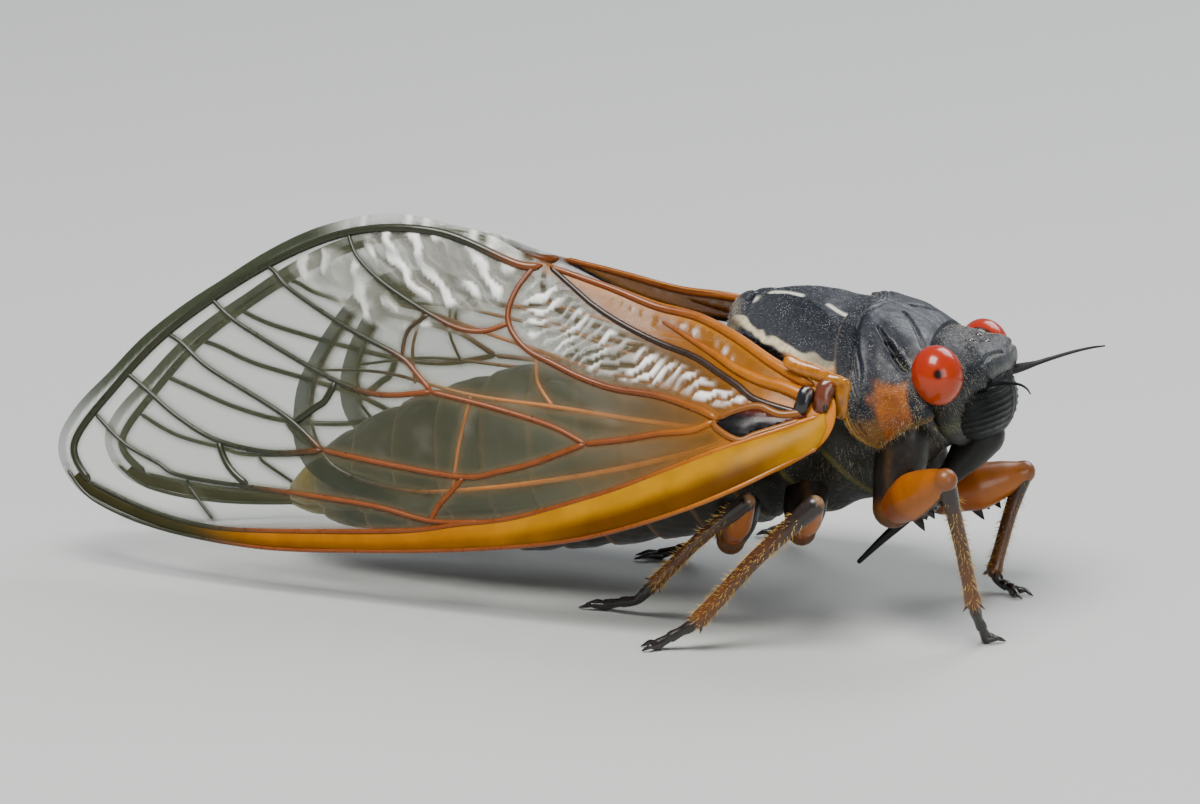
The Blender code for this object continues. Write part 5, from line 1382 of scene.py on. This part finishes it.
# Wing hinges: small hard plates in soft skin tie each forewing's trunks to the thorax, a glossy
# black one over the hinge, a rusty one before it, and orange straps to the back plate and band.
# Each row: middle, long half axis, half width, half thickness, colour.
HINGE_PLATES = (
    ((11.5, 5.3, 10.05), (0.2, -0.16, 0.58), 0.36, 0.26, (0.006, 0.006, 0.009)),
    ((12.27, 5.12, 10.2), (0.17, -0.12, 0.72), 0.42, 0.3, (0.12, 0.028, 0.009)),
    ((12.42, 5.3, 9.85), (0.05, -0.02, 0.24), 0.13, 0.17, (0.010, 0.006, 0.008)),
    ((11.5, 4.72, 11.2), (1.05, 0.1, -0.33), 0.34, 0.2, (0.36, 0.115, 0.0)),
    ((11.95, 5.0, 9.35), (0.85, 0.0, 0.12), 0.3, 0.26, (0.34, 0.125, 0.0)),
    ((13.0, 4.78, 10.1), (0.1, 0.0, 0.88), 0.36, 0.24, (0.29, 0.105, 0.002)),
    ((12.6, 4.72, 10.85), (0.62, 0.05, -0.2), 0.3, 0.22, (0.34, 0.12, 0.0)),
)


def plate_grid(middle, long_axis, half_width, half_thickness, rows, sides):
    """Rings of a flattened bean-like plate that lies along the side of the thorax."""
    long_axis = np.asarray(long_axis, float)
    outward = np.array((0.0, 1.0, 0.28))
    outward = outward - long_axis * ((outward @ long_axis) / (long_axis @ long_axis))
    outward /= np.linalg.norm(outward)
    width_axis = np.cross(outward, long_axis / np.linalg.norm(long_axis))
    lean = np.linspace(0.02, math.pi - 0.02, rows)[:, None, None]
    turn = np.linspace(0.0, 2.0 * math.pi, sides, endpoint=False)[None, :, None]
    round_by = np.sin(lean) ** 0.75 * (1.0 + 0.13 * np.sin(2.0 * turn + 2.6 * lean + 0.5))
    return (np.asarray(middle, float) + long_axis * np.cos(lean)
            + width_axis * half_width * round_by * np.cos(turn)
            + outward * half_thickness * round_by * np.sin(turn))


hinge_look = painted("hinge_plates", 0.22, spread=0.16, grain=2600.0, relief=0.03, coat=0.3)
for label, sign in SIDES:
    grids = [plate_grid(middle, axis, half_width, depth, 34, 44)
             for middle, axis, half_width, depth, _ in HINGE_PLATES]
    paints = []
    for grid, row in zip(grids, HINGE_PLATES):
        from_middle = np.abs(2.0 * along_share(grid) - 1.0)
        mottle = 0.5 + 0.5 * uneven(grid, 4.0).ravel()
        paint = blend(flat_paint(grid, row[-1]), (0.27, 0.085, 0.0),
                      soft_step(from_middle, 0.5, 0.95) * mottle)
        paints.append(blend(paint, (0.08, 0.018, 0.004), soft_step(mottle, 0.7, 0.95) * 0.6))
    grids = [grid * (1.0, sign, 1.0) for grid in grids]
    hinge = grid_mesh("wing_hinge_" + label, grids, paints, hinge_look)
    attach(hinge, "root")


# Body hair: short pale hairs lie back over the head and the back plates, and longer straw-yellow
# ones stand round the eyes, under the pronotum's rim and along the flanks. Each is a fine spine
# of horny cuticle rooted in the hard skin.
HAIR_PATCH = 0.003
# Hairs per square metre, seed, shortest, longest and thickness, lift off the skin and disorder.
SHORT_HAIR = (95e6, 3, 0.035, 0.1, 0.006, 0.5, 0.35)
LONG_HAIR = (75e6, 8, 0.12, 0.36, 0.0045, 0.7, 0.7)


def hair_tree(name, density, seed, shortest, longest, thickness, lift, disorder):
    """Tree that sets fine cones on a surface, as dense and in the lie that it stores."""
    tree, group_in, group_out = geometry_tree(name)

    def maths(operation, first, second, kind="ShaderNodeVectorMath"):
        other = "Scale" if operation == "SCALE" else 1
        return add_node(tree, kind, {0: first, other: second}, operation=operation).outputs[0]

    spread = add_node(tree, "GeometryNodeDistributePointsOnFaces", {
        "Mesh": group_in.outputs["Geometry"], "Seed": seed,
        "Density": maths("MULTIPLY", density, named(tree, "hair"), "ShaderNodeMath")},
        distribute_method="RANDOM")
    stray = add_node(tree, "FunctionNodeRandomValue", {
        "Min": (-1.0, -1.0, -1.0), "Max": (1.0, 1.0, 1.0), "Seed": seed},
        data_type="FLOAT_VECTOR").outputs["Value"]
    leaning = maths("ADD", maths("SCALE", spread.outputs["Normal"], lift),
                    named(tree, "lie", "FLOAT_VECTOR"))
    aim = add_node(tree, "FunctionNodeAlignRotationToVector", {
        "Vector": maths("ADD", leaning, maths("SCALE", stray, disorder))}, axis="Z")
    length = add_node(tree, "FunctionNodeRandomValue", {
        2: shortest * MM, 3: longest * MM, "Seed": seed}, data_type="FLOAT").outputs[1]
    size = add_node(tree, "ShaderNodeCombineXYZ", {
        "X": thickness * MM, "Y": thickness * MM, "Z": length})
    cone = add_node(tree, "GeometryNodeMeshCone", {
        "Vertices": 3, "Side Segments": 1, "Radius Top": 0.0, "Radius Bottom": 1.0, "Depth": 1.0})
    plant = add_node(tree, "GeometryNodeInstanceOnPoints", {
        "Points": spread.outputs["Points"], "Instance": cone.outputs["Mesh"],
        "Rotation": aim.outputs["Rotation"], "Scale": size.outputs["Vector"]})
    close_tree(tree, plant.outputs["Instances"], group_out, hair_look)
    return tree


def hair_ground(name, grids, amounts, lies, colours):
    """A hidden surface that stores where hair grows, how it lies and its colour."""
    ground = grid_mesh(name, grids, colours, hair_look)
    values = {"hair": [], "lie": [], "root_uv": []}
    for grid, amount, lie in zip(grids, amounts, lies):
        rows, sides = grid.shape[:2]
        amount = np.asarray(amount, float).reshape(rows, sides)
        lie = np.broadcast_to(np.asarray(lie, float), grid.shape).reshape(-1, 3)
        values["hair"].append(np.concatenate((amount.ravel(), (0.0, 0.0))))
        values["lie"].append(np.vstack((lie, lie[:2])))
        v, u = np.meshgrid(np.linspace(0.01, 0.99, rows), np.linspace(0.0, 1.0, sides, False),
                           indexing="ij")
        u = 0.02 + 0.96 * np.abs(2.0 * u - 1.0) * 0.5 + 0.48 * (u > 0.5)
        pair = np.column_stack((u.ravel(), v.ravel()))
        values["root_uv"].append(np.vstack((pair, pair[:1], pair[-1:])))
    store(ground.data, "hair", "FLOAT", np.concatenate(values["hair"]))
    store(ground.data, "lie", "FLOAT_VECTOR", np.vstack(values["lie"]))
    store(ground.data, "root_uv", "FLOAT2", np.vstack(values["root_uv"]))
    return ground


def plant_hair(name, ground, material_slot, *lie_of_hair):
    """Grow one piece of hair and lay its tufts out round their roots' places."""
    made = grow(ground, hair_tree(name + "_tree", *lie_of_hair), name)
    mesh = made.data
    roots = np.empty(len(mesh.vertices) * 2, np.float32)
    mesh.attributes["root_uv"].data.foreach_get("vector", roots)
    corners = np.empty(len(mesh.loops), np.int32)
    mesh.loops.foreach_get("vertex_index", corners)
    spread = np.array(((0.0, 0.0), (1.0, 0.0), (1.0, 1.0), (0.0, 1.0))) * HAIR_PATCH
    layout = np.clip(roots.reshape(-1, 2)[corners] + spread[corners % 4], 0.0, 1.0)
    mesh.uv_layers.new(name="OFBake").data.foreach_set("uv", layout.astype(np.float32).ravel())
    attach(made, "root")


hair_look = painted("hair", 0.45, spread=0.05, grain=900.0, relief=0.0)
pitch_back = np.array((-math.cos(BODY_PITCH), 0.0, -math.sin(BODY_PITCH)))
on_back = (1.0 - soft_step(angle, 64.0, 80.0)) * (1.0 - on_pronotum) * 0.7
on_back += on_pronotum * (0.25 + 0.6 * on_collar + soft_step(angle, 50.0, 72.0))
on_back *= (1.0 - soft_step(angle, 92.0, 104.0)) * (0.65 + 0.35 * uneven(base, 4.0))
short_colour = blend((0.26, 0.27, 0.28), (0.36, 0.30, 0.18), soft_step(angle, 50.0, 80.0).ravel())
on_crown = (head_base[..., 2] > -0.2) * (head_base[..., 0] > 5.8) * 1.0
ground = hair_ground("short_ground", [thorax_grid, head_grid], [on_back, on_crown],
                     [pitch_back * 0.9, pitch_back * 0.6],
                     [short_colour, flat_paint(head_grid, (0.34, 0.32, 0.27))])
plant_hair("short_hair", ground, "cuticle", *SHORT_HAIR)

under_rim = hump(above_foot, 2.0, 4.0) * on_pronotum * (base[..., 0] < 4.9)
on_sides = band(angle, 96.0, 108.0, 128.0, 150.0)
on_sides *= 0.35 * soft_step(base[..., 0], -0.5, 1.5)
on_sides = np.maximum(on_sides, 1.3 * under_rim)
behind_eye = hump(base[..., 0], 5.05, 0.3) * soft_step(angle, 42.0, 56.0)
on_sides = np.maximum(on_sides, behind_eye * (1.0 - soft_step(angle, 100.0, 112.0)))
by_eye = 0.45 * hump(side_of, 3.4, 0.5) * (head_base[..., 2] < 1.6)
by_eye *= (head_base[..., 0] > 5.9) * (head_base[..., 2] > -1.6)
ground = hair_ground("long_ground", [thorax_grid, head_grid], [on_sides, by_eye],
                     [(-0.1, 0.0, -0.7), (0.2, 0.0, -0.8)],
                     [flat_paint(thorax_grid, (0.50, 0.44, 0.28)),
                      flat_paint(head_grid, (0.44, 0.42, 0.27))])
plant_hair("long_hair", ground, "cuticle", *LONG_HAIR)


# Shin bristles: stiff golden spines of horny cuticle, thicker than the body's hairs. They stand
# all round every shin, rooted in its skin, and point towards the foot.
BRISTLES = (36e6, 5, 0.14, 0.36, 0.011, 1.5, 0.4)
amounts, lies, colours = [], [], []
for grid in shin_grids:
    share = along_share(grid).reshape(grid.shape[:2])
    amounts.append(band(share, 0.12, 0.3, 0.97, 1.0))
    run = grid[-1].mean(axis=0) - grid[0].mean(axis=0)
    lies.append(run / np.linalg.norm(run) * 0.9)
    colours.append(flat_paint(grid, (0.55, 0.34, 0.06)))
ground = hair_ground("bristle_ground", shin_grids, amounts, lies, colours)
plant_hair("shin_bristles", ground, "leg_brown", *BRISTLES)


# Floor, lamps and camera: a plain pale floor under soft studio light, seen as in the photograph
# from the right side, a little ahead of it and above.
AIM = (2.1, -3.0, 8.7)
CAMERA_TURN = math.radians(17.0)
CAMERA_RISE = math.radians(14.5)
CAMERA_DISTANCE = 250.0
FLOOR_HALF = 1.2               # metres
floor_mesh = bpy.data.meshes.new("floor")
floor_corners = ((-1.0, -1.0), (1.0, -1.0), (1.0, 1.0), (-1.0, 1.0))
floor_mesh.from_pydata([(x * FLOOR_HALF, y * FLOOR_HALF, 0.0) for x, y in floor_corners], [],
                       [(0, 1, 2, 3)])
floor_look = bpy.data.materials.new("pale_floor")
floor_look.use_nodes = True
floor_shader = floor_look.node_tree.nodes["Principled BSDF"]
floor_shader.inputs["Base Color"].default_value = (0.47, 0.485, 0.47, 1.0)
floor_shader.inputs["Roughness"].default_value = 0.7
floor_mesh.materials.append(floor_look)
floor = add_object("floor", floor_mesh)

world = bpy.data.worlds.new("studio")
world.use_nodes = True
world.node_tree.nodes["Background"].inputs["Color"].default_value = (0.86, 0.92, 1.0, 1.0)
world.node_tree.nodes["Background"].inputs["Strength"].default_value = 0.32
bpy.context.scene.world = world


def lamp(name, place, size, power, colour):
    """A square soft lamp that looks at the insect."""
    data = bpy.data.lights.new(name, "AREA")
    data.shape = "SQUARE"
    data.size = size
    data.energy = power
    data.color = colour
    made = add_object(name, data)
    made.location = place
    aim = Vector(np.asarray(AIM) * MM) - Vector(place)
    made.rotation_mode = "QUATERNION"
    made.rotation_quaternion = aim.to_track_quat("-Z", "Y")


for lamp_row in (("key", (-0.02, -0.12, 0.30), 0.16, 1.7, (1.0, 0.98, 0.94)),
                 ("rear", (0.10, 0.24, 0.24), 0.20, 0.9, (0.94, 0.97, 1.0)),
                 ("front", (0.26, -0.22, 0.12), 0.16, 0.35, (1.0, 0.97, 0.92))):
    lamp(*lamp_row)

camera_data = bpy.data.cameras.new("camera")
camera_data.sensor_width = 36.0
camera_data.lens = 180.0
camera_data.clip_start = 0.01
camera_data.clip_end = 10.0
camera = add_object("camera", camera_data)
away = Vector((math.sin(CAMERA_TURN) * math.cos(CAMERA_RISE),
               -math.cos(CAMERA_TURN) * math.cos(CAMERA_RISE), math.sin(CAMERA_RISE)))
camera.location = (Vector(AIM) + away * CAMERA_DISTANCE) * MM
camera.rotation_mode = "QUATERNION"
camera.rotation_quaternion = (-away).to_track_quat("-Z", "Y")
bpy.context.scene.camera = camera
